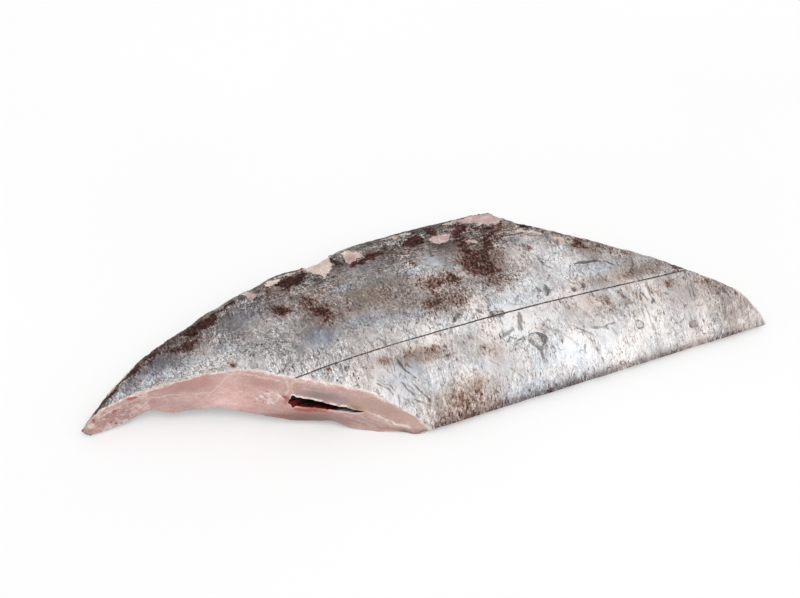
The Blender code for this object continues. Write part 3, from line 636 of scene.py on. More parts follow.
def scar_masks(s, t):
    """The rims and the insides of the round scars."""
    rim, inside = np.zeros_like(s), np.zeros_like(s)
    s = s + 0.35 * noise(s / 1.7, t / 1.7, 9)
    t = t + 0.35 * noise(s / 1.7, t / 1.7 + 17, 9)
    for middle_s, middle_t, half_s, half_t, darkness in SCARS:
        far = np.hypot((s - middle_s) / half_s, (t - middle_t) / half_t)
        worn = 0.6 + 0.3 * noise(s / 1.4, t / 1.4, 2)
        rim = np.maximum(rim, worn * bell((far - 1) * half_s, 0.3))
        streaky = 0.8 + 0.5 * noise(s / 0.6, t / 2.5, 6)
        inside = np.maximum(inside, darkness * streaky * (1 - smooth(far, 0.8, 1.1)))
    return rim, inside


# ---------------------------------------------------------------- the two cuts
class Cut:
    """An upright cut through the body, along a smooth plan curve from back to belly."""

    STEP = 0.25
    RISING = slice(None, None, -1)  # order in which t and d rise

    def __init__(self, points, head):
        self.s, self.t = plan_curve(points, self.STEP)
        ds, dt = np.gradient(self.s), np.gradient(self.t)
        length = np.hypot(ds, dt)
        self.head = head
        side = -1 if head else 1
        self.out_s, self.out_t = -side * dt / length, side * ds / length
        along = np.cumsum(length)
        self.d = np.interp(0, -self.t, along) - along  # distance from the belly corner

    def at(self, d):
        """Plan place and outward direction at distances from the belly corner."""
        return [np.interp(d, self.d[self.RISING], values[self.RISING])
                for values in (self.s, self.t, self.out_s, self.out_t)]

    def gap(self, s, t):
        """Rough distance from this cut to places inside the body."""
        cut_s = np.interp(t, self.t[self.RISING], self.s[self.RISING])
        slant = np.interp(t, self.t[self.RISING], abs(self.out_s)[self.RISING])
        return np.abs(s - cut_s) * slant

    def nearest(self, points):
        """Index of the place on the cut that is nearest to each point."""
        away = np.hypot(points[:, None, 0] - self.s[None], points[:, None, 1] - self.t[None])
        return np.argmin(away, axis=1)


head_cut = Cut(HEAD_CUT, head=True)
tail_cut = Cut(TAIL_CUT, head=False)


def row_ends(row_t):
    """Where a row of the skin, given as t at each s, meets the head and tail cuts."""
    ends = []
    for cut in (head_cut, tail_cut):
        over = cut.t - row_t(cut.s)
        keep = (cut.s > NAPE_S - 3) if cut.head else (cut.s > FULL_DEPTH_S - 6)
        order = np.argsort(over[keep])
        ends.append(np.interp(0, over[keep][order], cut.s[keep][order]))
    return max(ends[0], NAPE_S), ends[1]


# ---------------------------------------------------------------- meshes
UV_MARGIN_U, UV_MARGIN_V = 0.002, 0.004
LOW_CORNER, HIGH_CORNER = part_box("steak")
ORIGIN_S = TAIL_TIP_S - HIGH_CORNER.x / MM
ORIGIN_T = -LOW_CORNER.y / MM


def to_row(points):
    """Points of the fish's plan in millimetres, in the frame of the CAD model."""
    return (points - np.array([ORIGIN_S, ORIGIN_T, 0])) * MM


def grid_normals(points):
    """Unit normals of a grid of points, towards across x along."""
    across = np.gradient(points, axis=0)
    along = np.gradient(points, axis=1)
    normals = np.cross(across, along)
    return normals / np.maximum(np.linalg.norm(normals, axis=2, keepdims=True), 1e-9)


def linked(name, data):
    """A new object of the scene."""
    made = bpy.data.objects.new(name, data)
    bpy.context.scene.collection.objects.link(made)
    return made


def aim(thing, direction):
    """Turns a light or the camera to look this way."""
    thing.rotation_euler = Vector(direction).to_track_quat("-Z", "Y").to_euler()


def grid_object(name, grids, marks, finish, flip=False, normals=None):
    """One object from grids of points, with named marks as vertex attributes.

    Each grid has its own band of the texture map.
    """
    vertices, faces, uvs, count = [], [], [], 0
    for band, points in enumerate(grids):
        rows, columns = points.shape[:2]
        vertices.append(to_row(points).reshape(-1, 3))
        i = np.arange(rows - 1)[:, None] * columns + np.arange(columns - 1)[None, :] + count
        quads = np.stack([i, i + 1, i + 1 + columns, i + columns], -1).reshape(-1, 4)
        faces.append(quads[:, ::-1] if flip else quads)
        v = (np.linspace(UV_MARGIN_V, 1 - UV_MARGIN_V, rows) + band) / len(grids)
        u = np.linspace(UV_MARGIN_U, 1 - UV_MARGIN_U, columns)
        uvs.append(np.stack(np.broadcast_arrays(u[None, :], v[:, None]), -1).reshape(-1, 2))
        count += rows * columns
    vertices, faces, uvs = (np.concatenate(part) for part in (vertices, faces, uvs))
    mesh = bpy.data.meshes.new(name)
    mesh.from_pydata(vertices.tolist(), [], faces.tolist())
    layer = mesh.uv_layers.new(name="OFBake")
    layer.data.foreach_set("uv", uvs[faces.reshape(-1)].astype(np.float32).reshape(-1))
    for mark, values in marks.items():
        attribute = mesh.attributes.new(mark, "FLOAT", "POINT")
        flat = np.concatenate([np.asarray(part, float).reshape(-1) for part in values])
        attribute.data.foreach_set("value", flat.astype(np.float32))
    mesh.shade_smooth()
    if normals is not None:
        mesh.normals_split_custom_set_from_vertices(normals.reshape(-1, 3).tolist())
    mesh.materials.append(finish)
    return linked(name, mesh)


def dress(piece, node):
    """The piece rides on the frame and stands for a CAD node, which is hidden."""
    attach(piece, "root")
    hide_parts(node)


# ---------------------------------------------------------------- materials
class Nodes:
    """Short calls to lay out a material's nodes."""

    def __init__(self, name):
        self.material = bpy.data.materials.new(name)
        self.material.use_nodes = True
        self.tree = self.material.node_tree
        self.shader = self.tree.nodes["Principled BSDF"]
        self.place = self.new("ShaderNodeTexCoord").outputs["Object"]

    def new(self, kind, inputs=None, **settings):
        """A node with these settings and with values or links on its inputs."""
        node = self.tree.nodes.new(kind)
        for key, value in settings.items():
            setattr(node, key, value)
        for key, value in (inputs or {}).items():
            self.put(value, node.inputs[key])
        return node

    def put(self, value, socket):
        """Links an output to a socket, or sets the socket's own value."""
        if isinstance(value, bpy.types.NodeSocket):
            self.tree.links.new(value, socket)
        elif socket.type == "RGBA":
            socket.default_value = (*value, 1)
        else:
            socket.default_value = value

    def mark(self, name):
        """A mark on the vertices."""
        return self.new("ShaderNodeAttribute", attribute_name=name).outputs["Fac"]

    def math(self, operation, a, b=0.0, c=0.0, clamp=False):
        inputs = {0: a, 1: b, 2: c}
        return self.new("ShaderNodeMath", inputs, operation=operation, use_clamp=clamp).outputs[0]

    def times(self, a, b, clamp=False):
        return self.math("MULTIPLY", a, b, clamp=clamp)

    def plus(self, total, value, share):
        """total + share * value."""
        return self.math("MULTIPLY_ADD", value, share, total)

    def centred(self, value):
        return self.math("SUBTRACT", value, 0.5)

    def blend(self, share, a, b):
        """The number that lies this share of the way from a to b."""
        return self.new("ShaderNodeMix", {0: share, 2: a, 3: b}, data_type="FLOAT").outputs[0]

    def mix(self, share, a, b, mode="MIX"):
        """The colour that lies this share of the way from a to b."""
        inputs = {0: share, 6: a, 7: b}
        return self.new("ShaderNodeMix", inputs, data_type="RGBA", blend_type=mode).outputs[2]

    def tint(self, share, colour, factor):
        """The colour times this share of a factor."""
        return self.mix(share, colour, factor, "MULTIPLY")

    def leaned(self, lean, change):
        """Object coordinates in which streaks lean over by lean + change * x."""
        x, y, z = self.new("ShaderNodeSeparateXYZ", {0: self.place}).outputs
        moved = self.math("SUBTRACT", x, self.times(y, self.plus(lean, x, change)))
        return self.new("ShaderNodeCombineXYZ", {0: moved, 1: y, 2: z}).outputs[0]

    def noise(self, bumps, shift=(0, 0, 0), turn=0.0, detail=2.0, roughness=0.5, distortion=0.0):
        """Noise from 0 to 1 with this many bumps per metre along x, y and z."""
        place = self.new("ShaderNodeMapping", {
            "Vector": self.place, "Scale": bumps, "Location": shift,
            "Rotation": (0, 0, math.radians(turn))}, vector_type="POINT").outputs[0]
        return self.new("ShaderNodeTexNoise", {
            "Vector": place, "Scale": 1.0, "Detail": detail, "Roughness": roughness,
            "Distortion": distortion}).outputs["Fac"]

    def ramp(self, value, stops):
        """The colour at a value between (value, colour) stops."""
        node = self.new("ShaderNodeValToRGB", {"Fac": value})
        elements = node.color_ramp.elements
        while len(elements) < len(stops):
            elements.new(0.5)
        for element, (position, colour) in zip(elements, stops):
            element.position = position
            element.color = (*colour, 1)
        return node.outputs["Color"]

    def rise(self, value, low, high, to_low=0.0, to_high=1.0):
        """value mapped smoothly from low..high to to_low..to_high."""
        return self.new("ShaderNodeMapRange", {
            "Value": value, "From Min": low, "From Max": high, "To Min": to_low,
            "To Max": to_high}, interpolation_type="SMOOTHSTEP").outputs["Result"]

    def bump(self, height, distance, onto=None):
        inputs = {"Height": height, "Distance": distance, "Strength": 1.0}
        if onto is not None:
            inputs["Normal"] = onto
        return self.new("ShaderNodeBump", inputs).outputs[0]

    def finish(self, colour, roughness, normal, **constants):
        """Sets the shader's inputs. Constants go on its own sockets."""
        inputs = {"Base Color": colour, "Roughness": roughness, "Normal": normal}
        inputs.update((key.replace("_", " "), value) for key, value in constants.items())
        for key, value in inputs.items():
            self.put(value, self.shader.inputs[key])
        return self.material


def skin_material():
    """Wet silver skin: fine streaks across the fish, brown pigment, bare flesh and scars.

    Painted glints, and painted light and shade on the ridges, stand in for light on the wet skin.
    """
    n = Nodes("wet_silver_skin")
    n.place = n.leaned(LEAN, LEAN_CHANGE / MM)
    strokes = {"detail": 2.5, "roughness": 0.55, "distortion": 0.8}
    streaks = n.noise((1100, 430, 500), detail=3, roughness=0.6, distortion=0.4)
    fine = n.noise((1900, 1050, 1300), (3, 1, 2), roughness=0.65)
    cloud = n.noise((62, 48, 60), detail=4, roughness=0.6)
    speckle = n.noise((1000, 640, 800), (9, 4, 1), detail=3, roughness=0.68, distortion=0.5)
    dark_strokes = n.noise((1150, 400, 500), (1, 6, 2), 4, **strokes)
    painted_glints = n.noise((1300, 430, 500), (4, 9, 3), -7, **strokes)
    lengthwise = n.noise((210, 1150, 700), (7, 3, 3), -9, 3, 0.6, 0.8)
    lively = n.rise(n.noise((62, 50, 60), (8, 1, 4), detail=3, roughness=0.55),
                    0.36, 0.64, 0.35, 1.35)
    drift = n.noise((260, 170, 240), (5, 5, 5), detail=3, roughness=0.6)
    ridge = n.mark("ridge")

    # Pigment breaks up into specks along its borders.
    broken = n.plus(n.times(n.centred(speckle), 1.5), n.centred(streaks), -0.8)
    broken = n.plus(broken, ridge, -0.1)
    broken = n.plus(broken, n.centred(drift), 0.6)
    olive = n.rise(n.plus(n.mark("olive"), broken, 0.7), 0.05, 0.9)
    brown = n.rise(n.plus(n.mark("brown"), broken, 1.0), 0.1, 1.2)
    brown = n.times(brown, n.rise(n.mark("brown"), 0.03, 0.35))
    dark = n.rise(n.plus(n.mark("dark"), broken, 0.75), 0.2, 0.85)
    dark = n.times(dark, n.rise(n.mark("dark"), 0.05, 0.3))

    # Brightness: its zone, partly painted light and shade, darker pigment, light and dark
    # streaks, painted glints, painted light and shade on the ridges, and soft clouds.
    depth = n.rise(n.plus(n.mark("brown"), n.centred(drift), 0.9), 0.5, 1.2, 0.36, 0.21)
    level = n.blend(dark, n.blend(brown, n.mark("tone"), depth), 0.20)
    amount = n.times(n.times(n.mark("contrast"), 1.15), lively)
    amount = n.blend(dark, n.blend(brown, amount, 1.55), 0.75)
    along = n.times(n.centred(lengthwise), n.mark("along"))
    texture = n.times(n.centred(fine), 0.7)
    # The ridge mark paints the relief's ridges lighter and its valleys darker: painted light and
    # shade.
    for part, share in ((n.centred(streaks), 0.75), (n.rise(painted_glints, 0.56, 0.72), 0.22),
                        (n.rise(dark_strokes, 0.58, 0.72), -0.50), (ridge, 0.085), (along, 1.5)):
        texture = n.plus(texture, part, share)
    value = n.plus(level, texture, amount)
    value = n.plus(value, n.centred(cloud), 0.42)
    value = n.plus(value, n.centred(drift), 0.22)
    silver = n.ramp(value, ((0.08, (0.012, 0.008, 0.006)), (0.3, (0.090, 0.063, 0.053)),
                            (0.5, (0.246, 0.217, 0.207)), (0.7, (0.498, 0.458, 0.438)),
                            (0.85, (0.72, 0.695, 0.685)), (1.0, (0.93, 0.922, 0.92))))
    bluish = n.ramp(value, ((0.2, (0.090, 0.091, 0.106)), (0.5, (0.234, 0.237, 0.272)),
                            (0.8, (0.57, 0.605, 0.67)), (1.0, (0.88, 0.91, 0.94))))
    brownish = n.ramp(value, ((0.1, (0.014, 0.003, 0.002)), (0.3, (0.076, 0.025, 0.016)),
                              (0.45, (0.165, 0.070, 0.048)), (0.62, (0.30, 0.175, 0.138)),
                              (0.85, (0.58, 0.47, 0.42))))
    blackish = n.ramp(value, ((0.05, (0.010, 0.002, 0.002)), (0.25, (0.050, 0.014, 0.011)),
                              (0.45, (0.145, 0.060, 0.047)), (0.7, (0.36, 0.25, 0.22))))

    # The silver's hue, and pigment over it.
    silver = n.mix(n.times(n.mark("blue"), 0.85), silver, bluish)
    silver = n.tint(n.rise(drift, 0.5, 0.7, 0.0, 0.4), silver, (1.0, 0.93, 0.915))
    silver = n.tint(n.rise(cloud, 0.42, 0.58, 0.5, 0.0), silver, (0.86, 0.93, 1.0))
    silver = n.tint(n.rise(cloud, 0.48, 0.62, 0.0, 0.6), silver, (1.0, 0.963, 0.95))
    stain = n.times(n.mark("stain"), n.rise(drift, 0.35, 0.65, 0.75, 1.3))
    silver = n.tint(stain, silver, (0.76, 0.635, 0.575))
    colour = n.mix(n.times(olive, 0.65), silver, (0.235, 0.175, 0.135))
    colour = n.mix(brown, colour, brownish)
    colour = n.mix(dark, colour, blackish)

    # Bare flesh where skin came off with the fin, pinker in its lower parts.
    bare = n.rise(n.plus(n.mark("bare"), broken, 0.4), 0.32, 0.7)
    mottle = n.blend(0.5, drift, speckle)
    cream = n.ramp(mottle, ((0.36, (0.50, 0.37, 0.32)), (0.5, (0.64, 0.52, 0.455)),
                            (0.64, (0.80, 0.72, 0.65))))
    pink = n.ramp(mottle, ((0.36, (0.42, 0.26, 0.25)), (0.5, (0.53, 0.385, 0.365)),
                           (0.64, (0.68, 0.56, 0.54))))
    colour = n.mix(bare, colour, n.mix(n.mark("pink"), cream, pink))
    colour = n.mix(n.times(n.mark("rim"), 0.8), colour, (0.72, 0.60, 0.55))
    line = n.times(n.mark("line"), n.rise(speckle, 0.25, 0.5, 0.6, 1.1), clamp=True)
    colour = n.mix(line, colour, (0.060, 0.042, 0.040))

    # Thin creases wander over the silver.
    covered = n.math("MAXIMUM", n.math("MAXIMUM", bare, brown), dark)
    clean = n.math("SUBTRACT", 1.0, covered)
    for shift, bumps, strength, ink in ((2, (150, 62, 100), 0.85, (0.12, 0.09, 0.08)),
                                        (6, (260, 90, 100), 0.75, (0.17, 0.135, 0.125)),
                                        (8, (190, 100, 100), 0.4, (0.95, 0.93, 0.92))):
        wander = n.noise(bumps, (shift, shift, 1), distortion=1.1)
        thin = n.rise(n.math("ABSOLUTE", n.centred(wander)), 0.0, 0.02, 1.0, 0.0)
        place = n.noise((110, 90, 90), (shift + 3, 2, shift))
        crease = n.times(thin, n.rise(place, 0.46, 0.6, 0.0, strength))
        colour = n.mix(n.times(crease, clean), colour, ink)

    covered = n.math("MAXIMUM", covered, n.mark("edge"))
    roughness = n.plus(n.rise(fine, 0.3, 0.7, 0.38, 0.52), covered, 0.3)
    normal = n.bump(streaks, 0.00012, onto=n.bump(fine, 0.00008))
    metal = n.times(n.math("SUBTRACT", 1.0, covered), 0.2)
    return n.finish(colour, roughness, normal, Metallic=metal, IOR=1.4, Specular_IOR_Level=0.25)


def flesh_material():
    """Moist pink flesh with pale membranes, blood, a cream rim under the skin, painted shade and
    painted highlights.
    """
    n = Nodes("moist_pink_flesh")
    cloud = n.noise((150, 150, 260), detail=4, roughness=0.6, distortion=0.4)
    grain = n.noise((1300, 1300, 1300), detail=3, roughness=0.62)
    fibre = n.noise((260, 260, 1100), (4, 4, 4), detail=3, roughness=0.6)
    veins = n.noise((320, 320, 620), (2, 7, 3), detail=3, roughness=0.6, distortion=1.4)
    mottle = n.noise((420, 420, 800), (6, 2, 1), detail=4, roughness=0.65, distortion=0.8)
    base = n.plus(n.blend(0.4, cloud, 0.5), n.centred(fibre), 0.3)
    base = n.plus(base, n.centred(grain), 0.5)
    pink = n.ramp(base, ((0.24, (0.40, 0.218, 0.195)), (0.5, (0.515, 0.33, 0.30)),
                         (0.76, (0.65, 0.48, 0.445))))
    pink = n.mix(n.rise(veins, 0.6, 0.7, 0.0, 0.3), pink, (0.66, 0.51, 0.475))
    colour = n.mix(n.times(n.mark("deep"), 0.75), pink, (0.43, 0.215, 0.195))
    colour = n.mix(n.times(n.mark("grey"), 0.85), colour, (0.31, 0.222, 0.212))
    yellow = n.times(n.mark("yellow"), n.rise(grain, 0.3, 0.6, 0.5, 0.9))
    tan = n.mix(n.rise(n.mark("yellow"), 0.7, 1.2), (0.52, 0.355, 0.28), (0.33, 0.205, 0.125))
    colour = n.mix(yellow, colour, tan)
    for start, end, ink in ((0.48, 0.64, (0.72, 0.60, 0.60)), (0.5, 0.34, (0.44, 0.17, 0.18))):
        marbled = n.times(n.mark("marbled"), n.rise(mottle, start, end, 0.0, 0.7))
        colour = n.mix(marbled, colour, ink)
    # The shade mark is partly the flesh's own tone, partly painted shade and painted light.
    colour = n.tint(1.0, colour, n.mark("shade"))
    # The pale mark holds membranes and shreds, and painted highlights on the lips and the wet
    # flesh.
    pale = n.times(n.mark("pale"), n.rise(grain, 0.3, 0.6, 0.35, 0.85))
    colour = n.mix(pale, colour, (0.80, 0.68, 0.63))
    blood = n.plus(n.mark("blood"), n.centred(grain), 0.9)
    blood = n.plus(blood, n.centred(veins), 0.9)
    blood = n.times(n.rise(blood, 0.15, 1.0), n.rise(n.mark("blood"), 0.05, 0.3))
    colour = n.mix(n.times(blood, 0.85), colour, (0.30, 0.055, 0.045))
    rim = n.times(n.mark("rim"), n.rise(grain, 0.35, 0.6, 0.5, 1.0))
    colour = n.mix(rim, colour, (0.80, 0.67, 0.61))
    colour = n.mix(n.mark("black"), colour, (0.035, 0.022, 0.020))
    normal = n.bump(grain, 0.00010, onto=n.bump(fibre, 0.00016))
    return n.finish(colour, n.rise(grain, 0.3, 0.7, 0.34, 0.52), normal, IOR=1.4,
                    Coat_Weight=0.25, Coat_Roughness=0.2, Subsurface_Weight=0.2,
                    Subsurface_Radius=(1.0, 0.4, 0.3), Subsurface_Scale=0.0015)


def lining_material():
    """Wet black lining of the belly, with blood along its lower wall and a painted sheen near the
    mouth.
    """
    n = Nodes("wet_black_lining")
    grain = n.noise((700, 700, 900), detail=3, roughness=0.6, distortion=0.5)
    colour = n.ramp(grain, ((0.35, (0.003, 0.002, 0.002)), (0.6, (0.009, 0.004, 0.004)),
                            (0.8, (0.04, 0.02, 0.02))))
    blood = n.times(n.mark("blood"), n.rise(grain, 0.25, 0.6, 0.5, 1.0))
    colour = n.mix(blood, colour, (0.13, 0.008, 0.006))
    # The grey mark here is a painted sheen on the floor near the mouth.
    colour = n.mix(n.mark("grey"), colour, (0.20, 0.20, 0.21))
    return n.finish(colour, 0.45, n.bump(grain, 0.0003), IOR=1.4, Specular_IOR_Level=0.1,
                    Coat_Weight=0.04, Coat_Roughness=0.1)


def bone_material():
    """Cut backbone: chalky cream bone, pink marrow and a few blood spots."""
    n = Nodes("cut_backbone")
    lumps = n.noise((520, 520, 640), detail=4, roughness=0.6, distortion=0.6)
    grain = n.noise((1500, 1500, 1500), roughness=0.6)
    colour = n.ramp(lumps, ((0.34, (0.46, 0.25, 0.225)), (0.48, (0.56, 0.38, 0.35)),
                            (0.64, (0.78, 0.63, 0.605))))
    colour = n.mix(n.rise(grain, 0.5, 0.8, 0.0, 0.3), colour, (0.82, 0.72, 0.68))
    colour = n.mix(n.times(n.mark("blood"), 0.7), colour, (0.45, 0.09, 0.07))
    normal = n.bump(lumps, 0.0004, onto=n.bump(grain, 0.00012))
    return n.finish(colour, n.rise(grain, 0.3, 0.7, 0.38, 0.55), normal, IOR=1.45,
                    Subsurface_Weight=0.15, Subsurface_Radius=(1.0, 0.5, 0.4),
                    Subsurface_Scale=0.0015)


# ---------------------------------------------------------------- skin
COLUMNS = 880
UNDER_COLUMNS = 420
EDGE_BAND = 0.17  # share of the way from the lateral line to the back that is rounded
LINE_BAND = 0.03  # share of that way, by the lateral line, where rows lie denser
NEAR_ROWS, MIDDLE_ROWS, EDGE_ROWS, TURNED_ROWS = 13, 127, 34, 22
LOWER_BACK_ROWS = 95  # of the back's rows, how many go to the lower piece
BELLY_ROWS = 92
BELLY_CROWDING = 1.12
KEEL_ROWS_T = (0.35, 0.8, 1.4, 2.2, 3.2, 4.4, 6.0)
UNDER_ROWS = 90
UNDER_START_T = 5.4
UNDER_END = 0.55  # share of the rounded band that the underside leaves to the back
TABLE_GAP = 0.02
BACK_LUMP = (78, 108, 13, 6.5, -4, 1.0)  # the bare flesh on top of the back, as a patch
BACK_LUMP_HEIGHT = 1.3
BELLY_SWELL = 1.3
GROOVE_DEPTH = 0.45
LIP_HEIGHT = 0.06


def skin_relief(s, t, w, contrast):
    """How far the skin stands out, in mm, and its fine ridges. w runs round the body."""
    swell = 0.45 * rough_noise(s / 34, w / 26, 0) + 0.22 * rough_noise(s / 11, w / 14, 2)
    x, y = s - ORIGIN_S, t - ORIGIN_T
    lean = x - y * (LEAN + LEAN_CHANGE * x) + 0.5 * noise(s / 5, w / 6, 5)
    ridge = 0.65 * noise(lean / 0.6, w / 3.2, 4) + 0.5 * noise(lean / 0.34, w / 1.6, 6)
    folds = 0.10 * noise(lean / 1.9, w / 9, 8)
    return swell + contrast * (0.075 * ridge + folds), ridge


def skin_tone(s, t, w):
    """Brightness of the silver before its streaks: lighter belly, greyer back, darker towards
    the back's outer line. It is partly the skin's own tone and partly painted light and shade.
    """
    tone = 0.535 + 0.255 * (1 - smooth(t, 30, 60)) + zone_mask(TONE_AND_PAINTED_LIGHT_ZONES, s, t)
    edge = np.exp(-((back_t(s) - t) / 4.5)) * (0.30 + 0.14 * noise(s / 4, t / 6, 1))
    leaned, fanned = s - 0.22 * t, s - 0.5 * t
    bands = 0.5 * noise(leaned / 2.6, w / 15, 7) + 0.4 * noise(leaned / 1.3, w / 8, 3)
    fan = noise(fanned / 2.4, w / 13, 9) + 0.6 * noise(fanned / 1.2, w / 7, 12)
    at_nape = np.exp(-head_cut.gap(s, t) / 9) * (1 - smooth(s, -62, -45))
    bands = 0.1 * bands * (1 - at_nape) + 0.12 * fan * at_nape
    return tone - edge + 0.07 * rough_noise(s / 9, w / 12, 12) + bands


def skin_marks(s, t, w):
    """Where the upper skin is brown, dark, bare, bluish, lined or scarred."""
    rim, inside = scar_masks(s, t)
    brown = np.maximum.reduce([patch_mask(BROWN_PATCHES, s, t, 1, 0.6, (0.25, 1.5)),
                               shape_mask(BROWN_SHAPES, s, t, 1, 2.6, 2.8),
                               0.85 * shape_mask(DARK_SHAPES, s, t, 3, 2.6, 3.0)])
    cream = shape_mask(CREAM_SHAPES, s, t, 7, 1.8, 0.8)
    pink = shape_mask(PINK_SHAPES, s, t, 7, 1.8, 0.8)
    calm = patch_mask(CALM_PATCHES, s, t, 11, 0.3, (0.2, 1.4))
    blue = patch_mask(BLUE_PATCHES, s, t, 9, 0.4, (0.2, 1.4))
    flecks = np.minimum(shape_mask(FLECKS, s, t, 13, 0.9, 0.3), 1)
    contrast = 1.1 - 0.3 * (1 - smooth(t, 32, 56)) - 0.15 * smooth(s, 70, 100) - 0.4 * calm
    contrast = contrast + 0.15 * (1 - smooth(s, -75, -50)) - 0.25 * blue
    return {
        "brown": brown * (1 + 0.3 * rough_noise(s / 5, t / 7, 6)),
        "dark": shape_mask(DARK_SHAPES, s, t, 3, 2.4, 1.3),
        "olive": patch_mask(OLIVE_PATCHES, s, t, 5, 0.5, (0.1, 1.5)),
        "stain": patch_mask(STAIN_PATCHES, s, t, 2, 0.5, (0.1, 1.5)),
        "bare": np.maximum(cream, pink),
        "pink": pink * (1 - 0.6 * cream),
        "blue": blue,
        "contrast": np.clip(contrast, 0.2, 1.45),
        "along": smooth(t, 66, 92) * smooth(s, -45, -20) * smooth(back_t(s) - t, -1, 3),
        # The tone mark holds painted light and shade as well as the skin's own tone.
        "tone": skin_tone(s, t, w) - 0.42 * inside,
        "edge": bell(back_t(s) - t, 6),
        "line": np.maximum.reduce([line_mask(LINES, s, t, 13), 1.25 * rim,
                                   0.3 * flecks + 2.6 * flecks * (1 - flecks)]),
    }


def groove(s, t):
    """The lateral line: how deep it is at each place, and its raised lips."""
    away = np.abs(t - lateral_t(s))
    beads = 0.75 + 0.25 * noise(s / 1.1, s * 0, 3)
    width = 0.26 + 0.1 * smooth(s, 0, 60)
    return beads * bell(away, width), bell(away - 1.0, 0.5)


def skin_grid(upper_rows, lower_rows, columns=COLUMNS):
    """Places s, t and z of a grid whose rows, functions t(s), lie on the two sides."""
    rows = [*upper_rows, *lower_rows]
    s = np.empty((len(rows), columns))
    t = np.empty_like(s)
    share = np.linspace(0, 1, columns)
    for i, row in enumerate(rows):
        start, end = row_ends(row)
        s[i] = start + (end - start) * share
        t[i] = row(s[i])
    is_upper = np.arange(len(rows))[:, None] < len(upper_rows)
    return np.stack([s, t, np.where(is_upper, upper_z(s, t), lower_z(s, t))], -1)


def displaced_skin(points, toward_back):
    """The skin's relief along its normals, and its marks."""
    s, t = points[..., 0], points[..., 1]
    steps = np.linalg.norm(np.diff(points, axis=0), axis=2)
    run = np.concatenate([np.zeros((1, s.shape[1])), np.cumsum(steps, axis=0)])
    w = lateral_t(s) + run * (1 if toward_back else -1)
    marks = skin_marks(s, t, w)
    # The ridge mark also serves the material as painted light on ridges and painted shade in
    # valleys.
    relief, marks["ridge"] = skin_relief(s, t, w, marks["contrast"])
    depth, lips = groove(s, t)
    relief = relief * (1 - 0.7 * depth) - GROOVE_DEPTH * depth + LIP_HEIGHT * lips
    torn = smooth(marks["bare"], 0.3, 0.7)
    relief += 0.3 * smooth(marks["bare"], 0.05, 0.3) * (1 - torn) - 0.4 * torn
    relief += BACK_LUMP_HEIGHT * patch_mask((BACK_LUMP,), s, t, 7, 0.2)
    if not toward_back:
        swell = smooth(t, 0.3, 3.5) * (1 - smooth(t, 12, 26)) * (1 - smooth(s, -20, 45))
        relief += BELLY_SWELL * swell
    rough = smooth(marks["dark"], 0.2, 0.7)
    relief += rough * (0.35 * noise(s / 1.3, w / 1.5, 9) - 0.1) - 0.3 * marks["line"]
    relief += 0.12 * smooth(marks["brown"], 0.3, 0.8) * noise(s / 0.8, w / 1.3, 9)
    groove_line = (0.95 + 0.5 * smooth(s, -10, 60)) * smooth(depth, 0.1, 0.5)
    marks["line"] = np.maximum(marks["line"], groove_line)
    return relief + edge_relief(s, t, marks), marks


def edge_relief(s, t, marks):
    """The skin's curl along both cuts. Its cream rim goes to the marks."""
    relief, marks["rim"] = np.zeros_like(s), np.zeros_like(s)
    ragged = 0.7 * noise(s / 1.3, t / 1.3, 10)
    for cut, reach in ((head_cut, 0.8), (tail_cut, 0.5)):
        gap = cut.gap(s, t)
        frayed = 1.8 * cut.head * (1 - smooth(s, -85, -55))
        frayed = frayed * smooth(noise(s / 3, t / 2, 4), -0.3, 0.6)
        rim = 1 - smooth(gap + (1 + frayed) * ragged, 0.0, reach + frayed)
        marks["rim"] = np.maximum(marks["rim"], rim)
        relief += 0.25 * noise(s / 3.2, t / 3.2, 12) * np.exp(-gap / 1.6)
        relief -= 0.35 * np.exp(-gap / 0.5)
    return relief


def finished_skin(name, points, marks, material, toward_back, rows=slice(None)):
    """Rows of a displaced grid as a piece, shaded as part of the whole grid."""
    normals = grid_normals(points)[rows] * (-1 if toward_back else 1)
    piece = grid_object(name, [points[rows]], {key: [mark[rows]] for key, mark in marks.items()},
                        material, flip=not toward_back, normals=normals)
    dress(piece, "steak")


def tear_back_edge(s, t, z, marks):
    """The outer line of the back is dark and torn: sets the marks there."""
    away = back_t(s) - t
    edge = bell(away, 1.6) * (1 - smooth(s, 70, 100))
    edge *= 0.5 + 0.4 * noise(s / 6, z / 5, 2) + 0.3 * noise(s / 2, z / 2, 5)
    torn = bell(away - 5.5 - 1.5 * noise(s / 7, t / 5, 4), 2.4)
    torn *= (0.75 + 0.5 * noise(s / 5, t / 3, 6)) * (1 - smooth(s, -84, -64))
    marks["dark"] = np.maximum.reduce([marks["dark"], edge, torn])
    bare = (1 - smooth(away, 2.6, 4.2)) * (1 - smooth(s, -75, -60))
    bare *= smooth(noise(s / 5.5, z / 5, 9) + 0.5 * noise(s / 1.7, z / 1.9, 3), 0.05, 0.5)
    marks["bare"] = np.maximum(marks["bare"], bare)
    light = bell(away - 2.2 - noise(s / 9, z * 0, 5), 1.4) * smooth(s, -30, 0)
    light *= (1 - smooth(s, 84, 92)) * (0.75 + 0.5 * noise(s / 4, z / 4, 8))
    marks["tone"] = marks["tone"] + 0.42 * light
    marks["stain"] = np.maximum(marks["stain"], 0.8 * light)


